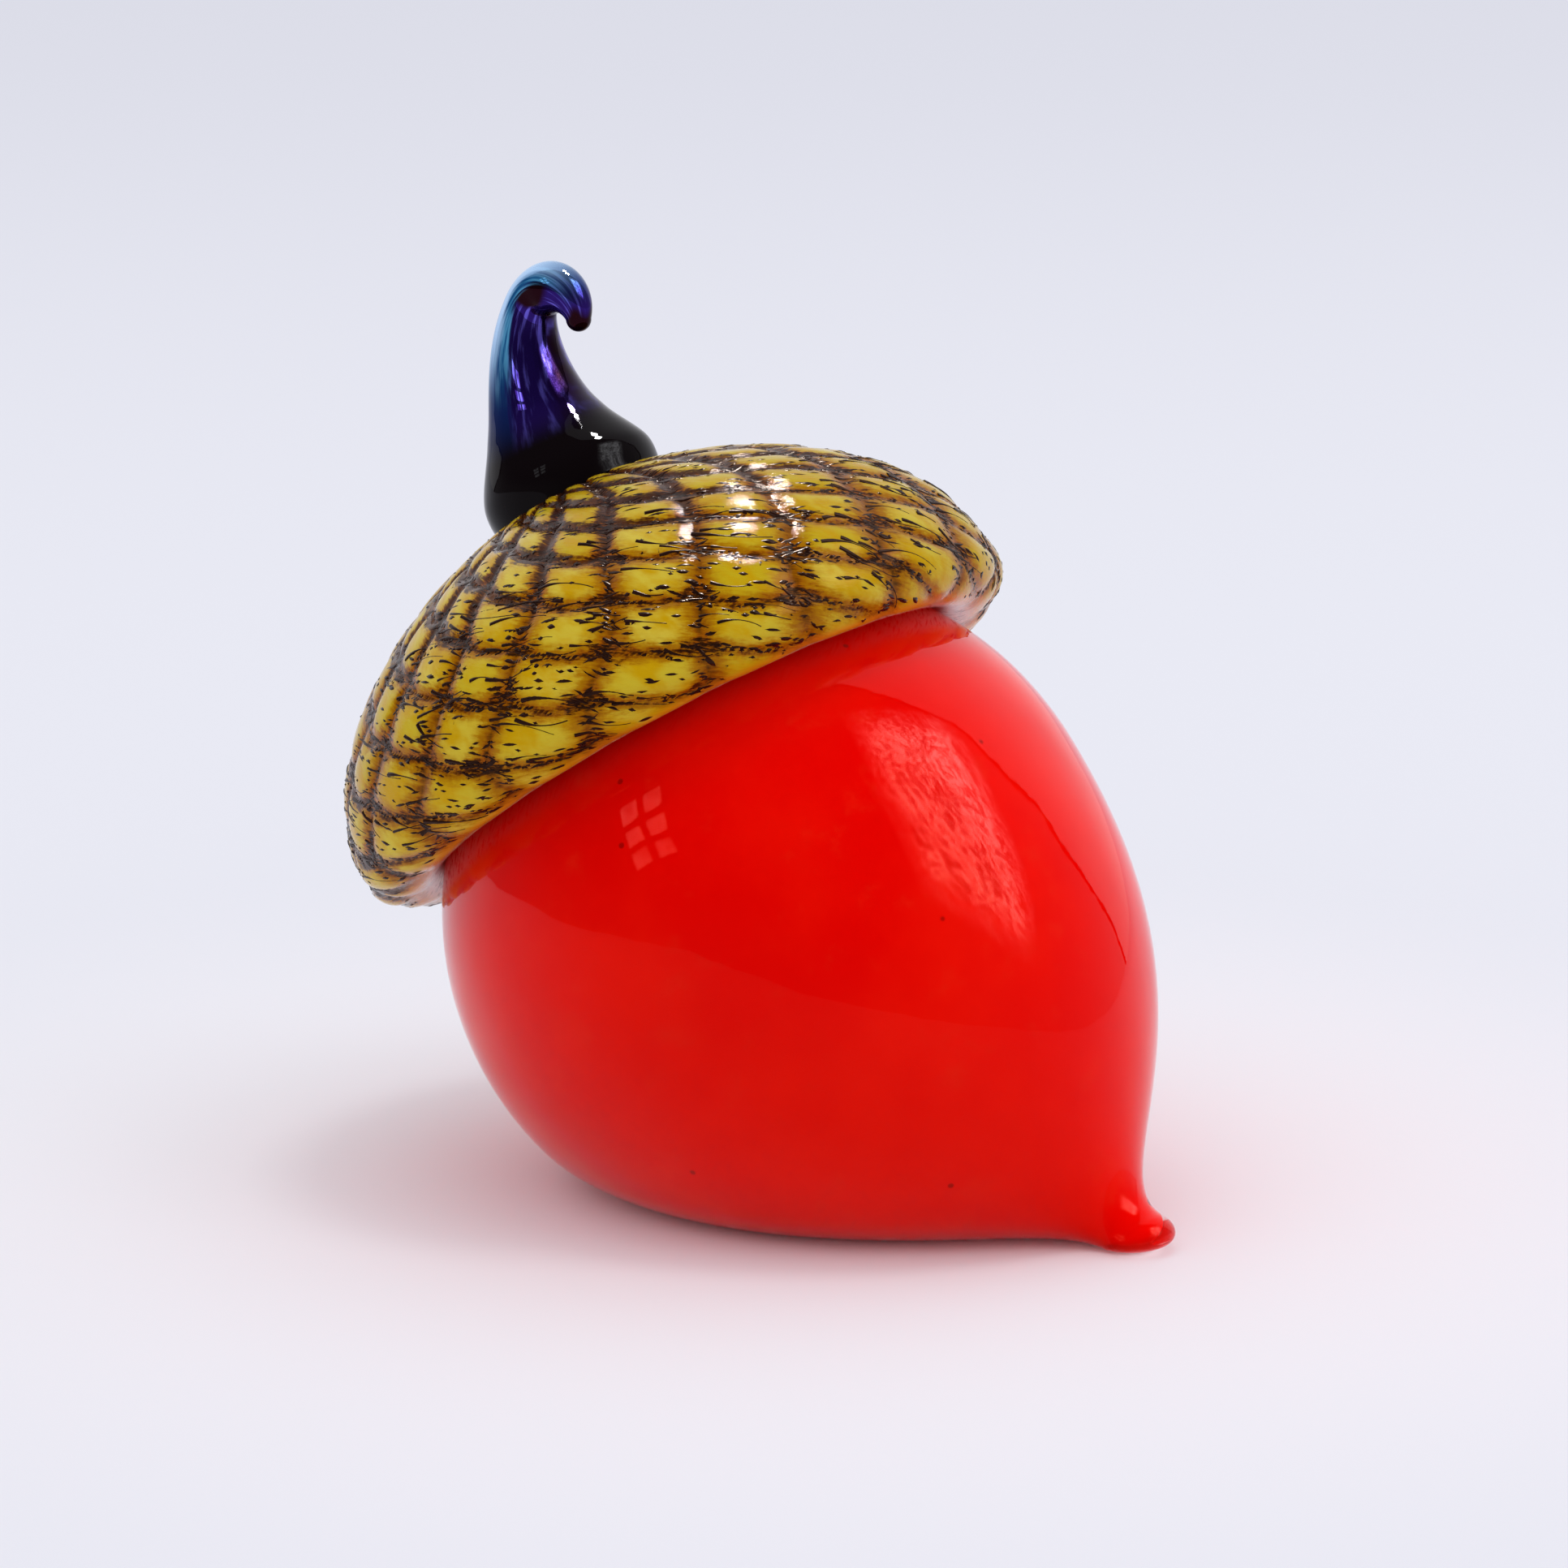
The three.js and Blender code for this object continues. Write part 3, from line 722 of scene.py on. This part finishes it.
def amber_cell_finish():
    """Amber glass over pale cells, with dark colour gathered in the grooves, and pale ivory painted under
    the lip as a reflection of the pale floor.
    """
    material, tree, shader = new_finish(
        "amber_cells", Roughness=0.04, Specular_IOR_Level=0.12, Specular_Tint=(1, 0.55, 0.28, 1),
    )
    rim = attribute(tree, "from_rim")
    drift = noise(tree, around_cap(tree, 12, 2.2), 1.0, 3, 0.55)
    fibres = noise(tree, around_cap(tree, 26, 17), 1.0, 4, 0.65)
    fine = noise(tree, object_place(tree), 900, 3, 0.6)
    ragged = calc(tree, "SUBTRACT", calc(tree, "MULTIPLY_ADD", fine, 0.5, fibres), 0.75)
    along_lean = add(tree, "ShaderNodeSeparateXYZ", {0: in_cap_frame(tree)}).outputs[0]
    heavy_side = ease(tree, along_lean, -0.004, -0.036, 0.0, 0.65)
    upper = calc(tree, "MAXIMUM", ease(tree, rim, 1.5, 5.0), heavy_side)
    across = calc(tree, "MULTIPLY_ADD", ragged, 0.5, attribute(tree, "across"))
    along = calc(tree, "MULTIPLY_ADD", ragged, 0.6, attribute(tree, "along"))

    def by_height(at_rim, at_top):
        return ease(tree, upper, 0.0, 1.0, at_rim, at_top)

    pale = tint(tree, attribute(tree, "cell"), CELL_PALE, CELL_DEEP)
    heart = tint(tree, ease(tree, drift, 0.35, 0.65), pale, CELL_CLOUD)
    corner = calc(tree, "ADD", calc(tree, "POWER", across, 4.0), calc(tree, "POWER", along, 4.0))
    heart = tint(tree, ease(tree, corner, -0.04, 0.34), heart, CELL_AMBER)
    low = ease(tree, attribute(tree, "upward"), 0.5, 0.12)
    edge = ease(tree, corner, by_height(0.18, 0.05), by_height(0.85, 0.48))
    body = tint(tree, edge, heart, tint(tree, low, CELL_EDGE, CELL_EDGE_LOW))

    band = times(tree, ease(tree, across, 0.86, 1.02), by_height(0.5, 0.8))
    body = tint(tree, band, body, tint(tree, upper, COLUMN_OLIVE, COLUMN_BROWN))
    row_start = by_height(0.84, 0.49)
    row_dark = ease(tree, along, row_start, calc(tree, "ADD", row_start, 0.18))
    column_start = by_height(0.93, 0.57)
    column_dark = ease(tree, across, column_start, calc(tree, "ADD", column_start, 0.2))
    smoke = times(tree, ease(tree, fibres, 0.28, 0.46), ease(tree, drift, 0.3, 0.55, 0.75, 1.0))
    groove = times(tree, calc(tree, "MAXIMUM", row_dark, column_dark), smoke, 0.92)
    body = tint(tree, groove, body, tint(tree, upper, GROOVE_LOW, GROOVE_HIGH))
    knot = times(tree, ease(tree, across, 0.45, 0.95), ease(tree, along, 0.45, 0.95))
    blot = times(tree, ease(tree, knot, 0.1, 0.5), ease(tree, fibres, 0.4, 0.56), 0.9)
    body = tint(tree, blot, body, KNOT)

    body = tint(tree, ease(tree, rim, -0.7, -1.0, 0.0, 0.7), body, LIP_ORANGE)
    # painted reflection: the lip's underside and the inside are painted pale ivory with darker mottling, as
    # a reflection of the pale floor and room
    under = tint(tree, ease(tree, fibres, 0.5, 0.62), LIP_PAINTED_REFLECTION, LIP_PAINTED_REFLECTION_MOTTLE)
    body = tint(tree, ease(tree, rim, -1.0, -1.3), body, under)
    tree.links.new(body, shader.inputs["Base Color"])
    bump(tree, shader, fibres, 0.07)
    return material


def dark_frit_finish():
    """Chips of near-black brown glass."""
    material, tree, shader = new_finish(
        "dark_frit", Roughness=0.25, Specular_IOR_Level=0.15, Specular_Tint=(1, 0.6, 0.35, 1),
    )
    clouded(tree, shader, 400, 2, FRIT_BLACK, FRIT_BROWN)
    return material


def make_cap():
    outline, rows = cap_outline()
    sides = CELL_COLUMNS * STEPS_PER_CELL
    columns = np.linspace(-CELL_COLUMNS / 2, CELL_COLUMNS / 2, sides, endpoint=False)
    turns = cell_turn(columns, np.clip(rows[1:-1, None], 0, CELL_ROWS))
    across = outline[1:-1, 0, None]
    rings = np.stack([
        across * np.sin(turns),
        -across * np.cos(turns),
        np.repeat(outline[1:-1, 1, None], sides, axis=1),
    ], axis=-1)
    count = len(rings)
    ends = np.array([[0, 0, outline[0, 1]], [0, 0, outline[-1, 1]]])
    points = from_cap(np.vstack([rings.reshape(-1, 3), ends]))
    values = {
        "column": np.concatenate([np.tile(columns, count), [0, 0]]),
        "from_rim": np.concatenate([np.repeat(rows[1:-1], sides), [rows[0], rows[-1]]]),
    }
    amber = amber_cell_finish()
    shell = new_piece("cap_shell", points, ring_faces(count, sides), amber, values)
    run_nodes(shell, moulded_cells(), {
        "Columns": float(CELL_COLUMNS), "Rows": float(CELL_ROWS),
        "Groove Depth": GROOVE_DEPTH * MM, "Unevenness": CELL_UNEVENNESS, "Sag": CELL_SAG, "Material": amber,
    })
    return shell


def make_frit(shell):
    tree = scattered_frit()
    dark = dark_frit_finish()
    shared = {
        "Axis": tuple(cap_axis), "Middle": tuple(cap_middle * MM), "Slope": FRIT_SLOPE, "Material": dark,
    }
    kinds = {
        "frit_chips": {
            "Density": 5.2e5, "In Cells": 0.02, "Lowest Row": -0.9, "Highest Row": 7.4,
            "Shortest": 1.0 * MM, "Longest": 3.2 * MM, "Width": 0.64 * MM,
            "Bow": 0.12, "Lean": 0.25, "Head": 0.0, "Steps": 4, "Sunk": 0.78, "Seed": 11,
        },
        "frit_dashes": {
            "Density": 1.05e5, "In Cells": 1.1, "Lowest Row": -0.8, "Highest Row": 7.4,
            "Shortest": 1.0 * MM, "Longest": 2.8 * MM, "Width": 0.6 * MM,
            "Bow": 0.1, "Lean": 0.22, "Head": 0.0, "Steps": 4, "Sunk": 0.72, "Seed": 23,
        },
        "frit_threads": {
            "Density": 6.0e4, "In Cells": 0.5, "Lowest Row": -0.6, "Highest Row": 3.6,
            "Shortest": 3.5 * MM, "Longest": 11 * MM, "Width": 0.42 * MM,
            "Bow": 0.22, "Lean": 0.15, "Head": 1.0, "Steps": 10, "Sunk": 0.45, "Seed": 5,
        },
    }
    made = []
    for name, values in kinds.items():
        piece = new_object(name, shell.data.copy())
        run_nodes(piece, tree, {**shared, **values})
        made.append(piece)
    return made


# Stem

def smooth_through(points, steps):
    """A smooth curve through points, each stretch bending with its neighbours."""
    ends = np.vstack([points[0], points, points[-1]])
    t = np.linspace(0, 1, steps)[:, None]
    parts = []
    for a, b, c, d in zip(ends, ends[1:], ends[2:], ends[3:]):
        slope_b, slope_c = (c - a) / 2, (d - b) / 2
        parts.append(
            (2 * b - 2 * c + slope_b + slope_c) * t ** 3
            + (-3 * b + 3 * c - 2 * slope_b - slope_c) * t ** 2 + slope_b * t + b
        )
    return np.vstack(parts)


def stem_line():
    """The stem's middle line in the cap's frame, the distance to each of its points and that to the hook."""
    bend_radius = HOOK_RADIUS + HOOK_EYE
    middle = np.array([STEM_OFFSET + HOOK_ACROSS, CAP_HEIGHT + STEM_RISE])
    start, end = math.radians(HOOK_START), math.radians(HOOK_END)
    hook = middle + arc(start, end, STEM_RINGS) * bend_radius
    foot = np.array([STEM_OFFSET, CAP_HEIGHT - CAP_WALL])
    leaving = np.array([math.sin(start), -math.cos(start)])
    straight = (hook[0, 1] - foot[1]) / 3
    rise = bezier(
        np.linspace(0, 1, STEM_RINGS + 1),
        foot, foot + np.array([0, straight]), hook[0] - straight * leaving, hook[0],
    )
    line = np.vstack([rise, hook[1:]])
    along = np.concatenate([[0], np.cumsum(np.linalg.norm(np.diff(line, axis=0), axis=1))])
    return line, along, along[STEM_RINGS]


def lustre_stem_finish():
    """Near-black glass at the foot that turns violet along the horn, with a painted reflection in blue and
    silver along the outer side of its curve and a painted dark reflection along the inner side.
    """
    material, tree, shader = new_finish("lustre_stem", Roughness=0.03, Specular_IOR_Level=0.06)
    along = attribute(tree, "along")
    outer = attribute(tree, "outer")
    drawn = joined(tree, X=times(tree, along, 2.2), Y=times(tree, outer, 3.0))
    streak = noise(tree, drawn, 2.4, 3, 0.55)
    wander = calc(tree, "MULTIPLY_ADD", streak, 0.5, calc(tree, "SUBTRACT", outer, 0.25))
    violet = tint(tree, ease(tree, streak, 0.5, 0.66), VIOLET, VIOLET_BRIGHT)
    blot = ease(tree, noise(tree, object_place(tree), 105, 1), 0.5, 0.54)
    violet = tint(tree, times(tree, blot, ease(tree, along, 0.56, 0.66)), violet, MAROON)
    # painted reflection: the inner side of the curve is painted dark maroon, as a dark reflection there
    inner = tint(tree, ease(tree, wander, -1.1, -0.7), MAROON_PAINTED_DARK_REFLECTION, violet)
    # painted reflection: along the outer side of the curve the horn is painted blue, paler in streaks, as
    # the lustre's sheen
    sheen_ridge = calc(tree, "SUBTRACT", wander, ease(tree, along, 0.6, 0.85, 0.0, 0.4))
    shown = times(tree, ease(tree, sheen_ridge, -0.25, 0.0), ease(tree, along, 0.97, 0.82))
    band = tint(tree, ease(tree, streak, 0.4, 0.62), BLUE_PAINTED_SHEEN, PALE_BLUE_PAINTED_SHEEN)
    band = tint(tree, ease(tree, along, 0.36, 0.6), LOW_BLUE_PAINTED_SHEEN, band)
    body = tint(tree, shown, inner, band)
    middle = times(tree, ease(tree, along, 0.4, 0.66), ease(tree, along, 0.93, 0.8))
    # painted reflection: silver down the middle of that band, as the pale room mirrored in the lustre
    body = tint(tree, times(tree, ease(tree, sheen_ridge, 0.08, 0.4), middle), body, SILVER_PAINTED_REFLECTION)
    lustre = ease(tree, along, 0.2, 0.4)
    body = tint(tree, lustre, STEM_FOOT, body)
    tree.links.new(body, shader.inputs["Base Color"])
    metal = times(tree, lustre, ease(tree, shown, 0.0, 1.0, 0.75, 0.25))
    tree.links.new(metal, shader.inputs["Metallic"])
    bump(tree, shader, noise(tree, object_place(tree), 120, 2), 0.1)
    return material


def make_stem():
    line, along, to_hook = stem_line()
    key = np.array([
        [0, STEM_FOOT_RADIUS],
        [CAP_WALL + STEM_FOOT_HEIGHT, STEM_FOOT_RADIUS],
        [CAP_WALL + STEM_SHOULDER_HEIGHT, STEM_SHOULDER_RADIUS],
        [CAP_WALL + STEM_SHAFT_HEIGHT, STEM_SHAFT_RADIUS],
        [to_hook, HOOK_RADIUS],
        [(to_hook + along[-1]) / 2, HOOK_MIDDLE_RADIUS],
        [along[-1], HOOK_TIP_RADIUS],
    ])
    sections = smooth_through(key, STEM_RINGS)
    stations = np.linspace(0, along[-1], STEM_RINGS)
    radius = np.interp(stations, sections[:, 0], sections[:, 1])
    middle = np.column_stack([np.interp(stations, along, line[:, i]) for i in (0, 1)])
    tangent = np.gradient(middle, stations, axis=0)
    tip_turns = np.linspace(0, math.pi / 2, TIP_RINGS + 1)[1:]
    end_radius = radius[-1]
    middle = np.vstack([middle, middle[-1] + tangent[-1] * end_radius * np.sin(tip_turns)[:, None]])
    tangent = np.vstack([tangent, np.repeat(tangent[-1:], TIP_RINGS, axis=0)])
    radius = np.concatenate([radius, end_radius * np.cos(tip_turns)])
    tangent /= np.linalg.norm(tangent, axis=1, keepdims=True)
    turns = np.linspace(0, 2 * math.pi, STEM_SIDES, endpoint=False)
    outward = np.column_stack([-tangent[:, 1], tangent[:, 0]])
    reach = radius[:, None] * np.cos(turns)
    rings = np.stack([
        middle[:, 0, None] + outward[:, 0, None] * reach,
        radius[:, None] * np.sin(turns),
        middle[:, 1, None] + outward[:, 1, None] * reach,
    ], axis=-1)[:-1]
    count = len(rings)
    foot_middle = np.array([middle[0, 0], 0, middle[0, 1]])
    tip = np.array([middle[-1, 0], 0, middle[-1, 1]])
    points = from_cap(np.vstack([rings.reshape(-1, 3), foot_middle, tip]))
    faces = ring_faces(count, STEM_SIDES)
    shares = np.clip(np.concatenate([stations, np.full(TIP_RINGS - 1, along[-1])]) / along[-1], 0, 1)
    values = {
        "along": np.concatenate([np.repeat(shares, STEM_SIDES), [0, 1]]),
        "outer": np.concatenate([np.tile(np.cos(turns), count), [0, 0]]),
    }
    return new_piece("stem_horn", points, faces, lustre_stem_finish(), values)


# Pieces inside the cap, kept as they are

def ivory_lining_finish():
    material, tree, shader = new_finish("ivory_lining", Roughness=0.16)
    clouded(tree, shader, 60, 4, LINING, LINING_CLOUD)
    return material


def adhesive_finish():
    material, tree, shader = new_finish("clear_adhesive", IOR=1.45)
    clouded(tree, shader, 90, 3, ADHESIVE, ADHESIVE_CLOUD)
    rough = ease(tree, noise(tree, object_place(tree), 140, 2), 0.3, 0.7, 0.18, 0.34)
    tree.links.new(rough, shader.inputs["Roughness"])
    return material


def paint_node(name, material):
    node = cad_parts[name]
    node.data.materials.clear()
    node.data.materials.append(material)


# Pieces on the frame

casing, red_core = make_nut()
cap_shell = make_cap()
frit_chips, frit_dashes, frit_threads = make_frit(cap_shell)
stem_horn = make_stem()
paint_node("cap_lining", ivory_lining_finish())
paint_node("bond_ring", adhesive_finish())

for piece, slot_name, nodes in (
    (casing, "clear_glass", ["nut_casing"]),
    (red_core, "red_glass", ["nut_core"]),
    (cap_shell, "amber_frit_glass", ["cap_dome"]),
    (frit_chips, "amber_frit_glass", []),
    (frit_dashes, "amber_frit_glass", []),
    (frit_threads, "amber_frit_glass", []),
    (stem_horn, "dark_lustre_glass", ["stem"]),
):
    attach(piece, "root")
    if nodes:
        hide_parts(*nodes)


# Camera

azimuth, elevation = math.radians(VIEW_AZIMUTH), math.radians(VIEW_ELEVATION)
view_back = Vector((
    math.sin(azimuth) * math.cos(elevation),
    -math.cos(azimuth) * math.cos(elevation),
    math.sin(elevation),
))
view_right = Vector((math.cos(azimuth), math.sin(azimuth), 0))
view_up = view_back.cross(view_right)
nut_place = Vector((0, 0, nut_middle * MM))


def make_camera():
    camera = new_object("camera", bpy.data.cameras.new("camera"))
    right_of_nut = (PHOTO_SIDE / 2 - NUT_MIDDLE_PIXEL[0]) * PIXEL_SIZE * MM
    above_nut = (NUT_MIDDLE_PIXEL[1] - PHOTO_SIDE / 2) * PIXEL_SIZE * MM
    aim = nut_place + right_of_nut * view_right + above_nut * view_up
    camera.location = nut_place + view_back * VIEW_DISTANCE * MM
    camera.rotation_euler = (aim - camera.location).to_track_quat("-Z", "Y").to_euler()
    camera.data.angle = 2 * math.atan(PHOTO_SIDE * PIXEL_SIZE / 2 / VIEW_DISTANCE)
    camera.data.clip_start = 0.05
    camera.data.clip_end = 50
    bpy.context.scene.camera = camera


# Studio

FLOOR_REACH = 6.0  # metres
ROOM_LEVEL = 0.95  # brightness of the pale room behind the object, where white paper is 1
FILL_LEVEL = 0.9  # brightness of the even light on matt surfaces
THROUGH_LEVEL = 1.2  # brightness of the even light that passes through clear glass
ROOM_EDGE = -0.68  # where the pale room ends, from -1 straight behind the object to 1 at the camera
ROOM_BLUR = 0.01  # half the width of its edge
ROOM_SLANT = 0.8  # how much further toward the camera it reaches overhead
SEAM_MIDDLE = 0.012  # how far from that edge, on the camera's side, a dark seam runs
SEAM_BLACK = 0.006  # half the width of its black part
SEAM_HALF = 0.018  # half the width of the whole seam
FRONT_LOW = 0.22  # brightness of the dim room on the camera's side, low down
FRONT_HIGH = 0.03  # its brightness overhead
FRONT_RIGHT = 0.36  # what is added to it at the right

# Lamps: place from the nut in millimetres, to the camera's right, up and toward it, then side and radiance
OVERHEAD_LAMP = ((375, 2425, 605), 500, 7)
SIDE_LAMP = ((1500, 2220, 1350), 1250, 0.9)
GLINT_LAMPS = (((2.7, 184.8, 4.6), 13, 350), ((-6.7, 183.6, -5.4), 10, 350))

# Windows: direction to the camera's right, up and toward it, half sizes at a distance of 1, shares of a pane
BROAD_WINDOW = {
    "centre": (0.7, 0.61, 0.38), "roll": -38, "half_width": 0.27, "half_height": 0.38,
    "columns": 1, "rows": 1, "bar": 0.0, "blur": 0.3,
}
BROAD_WINDOW_LEVEL = 13.0
BARRED_WINDOW = {
    "centre": (-0.68, 0.42, 0.6), "roll": 46, "half_width": 0.15, "half_height": 0.22,
    "columns": 2, "rows": 3, "bar": 0.3, "blur": 0.06,
}
BARRED_WINDOW_LEVEL = 3.6


def view_direction(right, up, toward):
    """A direction from the nut, given as the camera sees it."""
    return (right * view_right + up * view_up + toward * view_back).normalized()


def make_floor():
    """White paper that turns a cool grey with the distance behind the object, and whiter close round it as a
    painted glow of light.
    """
    material, tree, shader = new_finish("studio_paper", Roughness=0.9, Specular_IOR_Level=0.0)
    flat_back = Vector((view_back.x, view_back.y, 0)).normalized()
    place = object_place(tree)
    far = ease(tree, dot(tree, place, -flat_back), 0.25, 1.5)
    paper = tint(tree, far, PAPER, PAPER_FAR)
    from_middle = add(tree, "ShaderNodeVectorMath", {0: place}, operation="LENGTH").outputs["Value"]
    # painted light: the paper turns whiter close round the object, as a glow of light there
    paper = tint(tree, ease(tree, from_middle, 0.2, 0.06), paper, PAPER_PAINTED_GLOW)
    tree.links.new(paper, shader.inputs["Base Color"])
    corners = [(x * FLOOR_REACH, y * FLOOR_REACH, 0) for x, y in ((-1, -1), (1, -1), (1, 1), (-1, 1))]
    mesh = bpy.data.meshes.new("floor")
    mesh.from_pydata(corners, [], [(0, 1, 2, 3)])
    mesh.materials.append(material)
    floor = new_object("floor", mesh)


def make_lamp(place, side, radiance):
    """A square lamp that faces the nut."""
    offset = place[0] * view_right + place[1] * view_up + place[2] * view_back
    lamp = bpy.data.lights.new("lamp", "AREA")
    lamp.size = side * MM
    lamp.energy = radiance * math.pi * lamp.size ** 2
    holder = new_object("lamp", lamp)
    holder.location = nut_place + offset * MM
    holder.rotation_euler = offset.to_track_quat("Z", "Y").to_euler()
    holder.visible_transmission = False
    return holder


def make_soft_lamp(place, side, radiance):
    """A lamp for matt surfaces, which polished glass doesn't mirror."""
    make_lamp(place, side, radiance).visible_glossy = False


def make_glint(place, side, radiance):
    """A small lamp near the stem that only polished glass mirrors."""
    holder = make_lamp(place, side, radiance)
    holder.visible_diffuse = False
    holder.data.use_nodes = True
    tree = holder.data.node_tree
    tree.nodes.clear()
    bounces = out(add(tree, "ShaderNodeLightPath"), "Diffuse Depth")
    shade = add(tree, "ShaderNodeEmission", {"Strength": calc(tree, "LESS_THAN", bounces, 0.5)})
    output = add(tree, "ShaderNodeOutputLight")
    tree.links.new(out(shade), output.inputs["Surface"])


def window_glow(tree, direction, centre, roll, half_width, half_height, columns, rows, bar, blur):
    """Brightness of a rolled window's panes by direction."""
    middle = view_direction(*centre)
    level = Vector((-middle.y, middle.x, 0)).normalized()
    across = Quaternion(middle, math.radians(roll)) @ level
    over = middle.cross(across)
    ahead = dot(tree, direction, middle)
    glow = calc(tree, "GREATER_THAN", ahead, 0.2)
    for axis, half, count in ((across, half_width, columns), (over, half_height, rows)):
        share = calc(tree, "DIVIDE", dot(tree, direction, axis), times(tree, ahead, half))
        edge = ease(tree, calc(tree, "ABSOLUTE", share), 1.0 + blur, 1.0 - blur)
        steps = calc(tree, "FRACT", calc(tree, "MULTIPLY_ADD", share, count / 2, count / 2))
        pane = calc(tree, "ABSOLUTE", calc(tree, "MULTIPLY_ADD", steps, 2.0, -1.0))
        clear = ease(tree, pane, 1.0 - bar + blur, 1.0 - bar - blur)
        glow = times(tree, glow, times(tree, edge, clear))
    return glow


def make_world():
    """A pale room behind the object, and a dim one with two windows on the camera's side."""
    world = bpy.data.worlds.new("studio")
    world.use_nodes = True
    bpy.context.scene.world = world
    tree = world.node_tree
    tree.nodes.clear()
    direction = out(add(tree, "ShaderNodeTexCoord"), "Generated")
    wobble = calc(tree, "SUBTRACT", noise(tree, direction, 5.0, 3, 0.6), 0.5)
    slanted = dot(tree, direction, view_back - ROOM_SLANT * view_up)
    edge = calc(tree, "MULTIPLY_ADD", wobble, 0.16, slanted)
    room = ease(tree, edge, ROOM_EDGE + ROOM_BLUR, ROOM_EDGE - ROOM_BLUR, 0.0, ROOM_LEVEL)
    front = ease(tree, dot(tree, direction, (0, 0, 1)), 0.0, 0.4, FRONT_LOW, FRONT_HIGH)
    right = ease(tree, dot(tree, direction, view_right), 0.4, 0.8, 0.0, FRONT_RIGHT)
    shown = ease(tree, edge, ROOM_EDGE + ROOM_BLUR, ROOM_EDGE + 3 * ROOM_BLUR)
    level = calc(tree, "ADD", room, times(tree, calc(tree, "ADD", front, right), shown))
    from_seam = calc(tree, "ABSOLUTE", calc(tree, "SUBTRACT", edge, ROOM_EDGE + SEAM_MIDDLE))
    level = times(tree, level, ease(tree, from_seam, SEAM_BLACK, SEAM_HALF))

    blotch = ease(tree, noise(tree, direction, 9.0, 3, 0.6), 0.36, 0.56, 0.4, 1.0)
    veil = ease(tree, noise(tree, direction, 34.0, 6, 0.75), 0.4, 0.6, 0.2, 1.0)
    broad = window_glow(tree, direction, **BROAD_WINDOW)
    lights = times(tree, broad, times(tree, blotch, veil), BROAD_WINDOW_LEVEL)
    barred = window_glow(tree, direction, **BARRED_WINDOW)
    lights = calc(tree, "MULTIPLY_ADD", times(tree, barred, blotch), BARRED_WINDOW_LEVEL, lights)

    path = add(tree, "ShaderNodeLightPath")
    mirrored = calc(tree, "LESS_THAN", out(path, "Diffuse Depth"), 0.5)
    level = calc(tree, "MULTIPLY_ADD", lights, mirrored, level)
    strength = times(tree, out(path, "Is Camera Ray"), ROOM_LEVEL)
    for kind, value in (
        ("Is Diffuse Ray", FILL_LEVEL), ("Is Transmission Ray", THROUGH_LEVEL), ("Is Glossy Ray", level),
    ):
        strength = calc(tree, "MULTIPLY_ADD", out(path, kind), value, strength)
    shade = add(tree, "ShaderNodeBackground", {"Color": ROOM, "Strength": strength})
    output = add(tree, "ShaderNodeOutputWorld")
    tree.links.new(out(shade), output.inputs["Surface"])


make_camera()
make_floor()
make_world()
make_soft_lamp(*OVERHEAD_LAMP)
make_soft_lamp(*SIDE_LAMP)
for lamp in GLINT_LAMPS:
    make_glint(*lamp)

bpy.context.scene.view_settings.view_transform = "Standard"
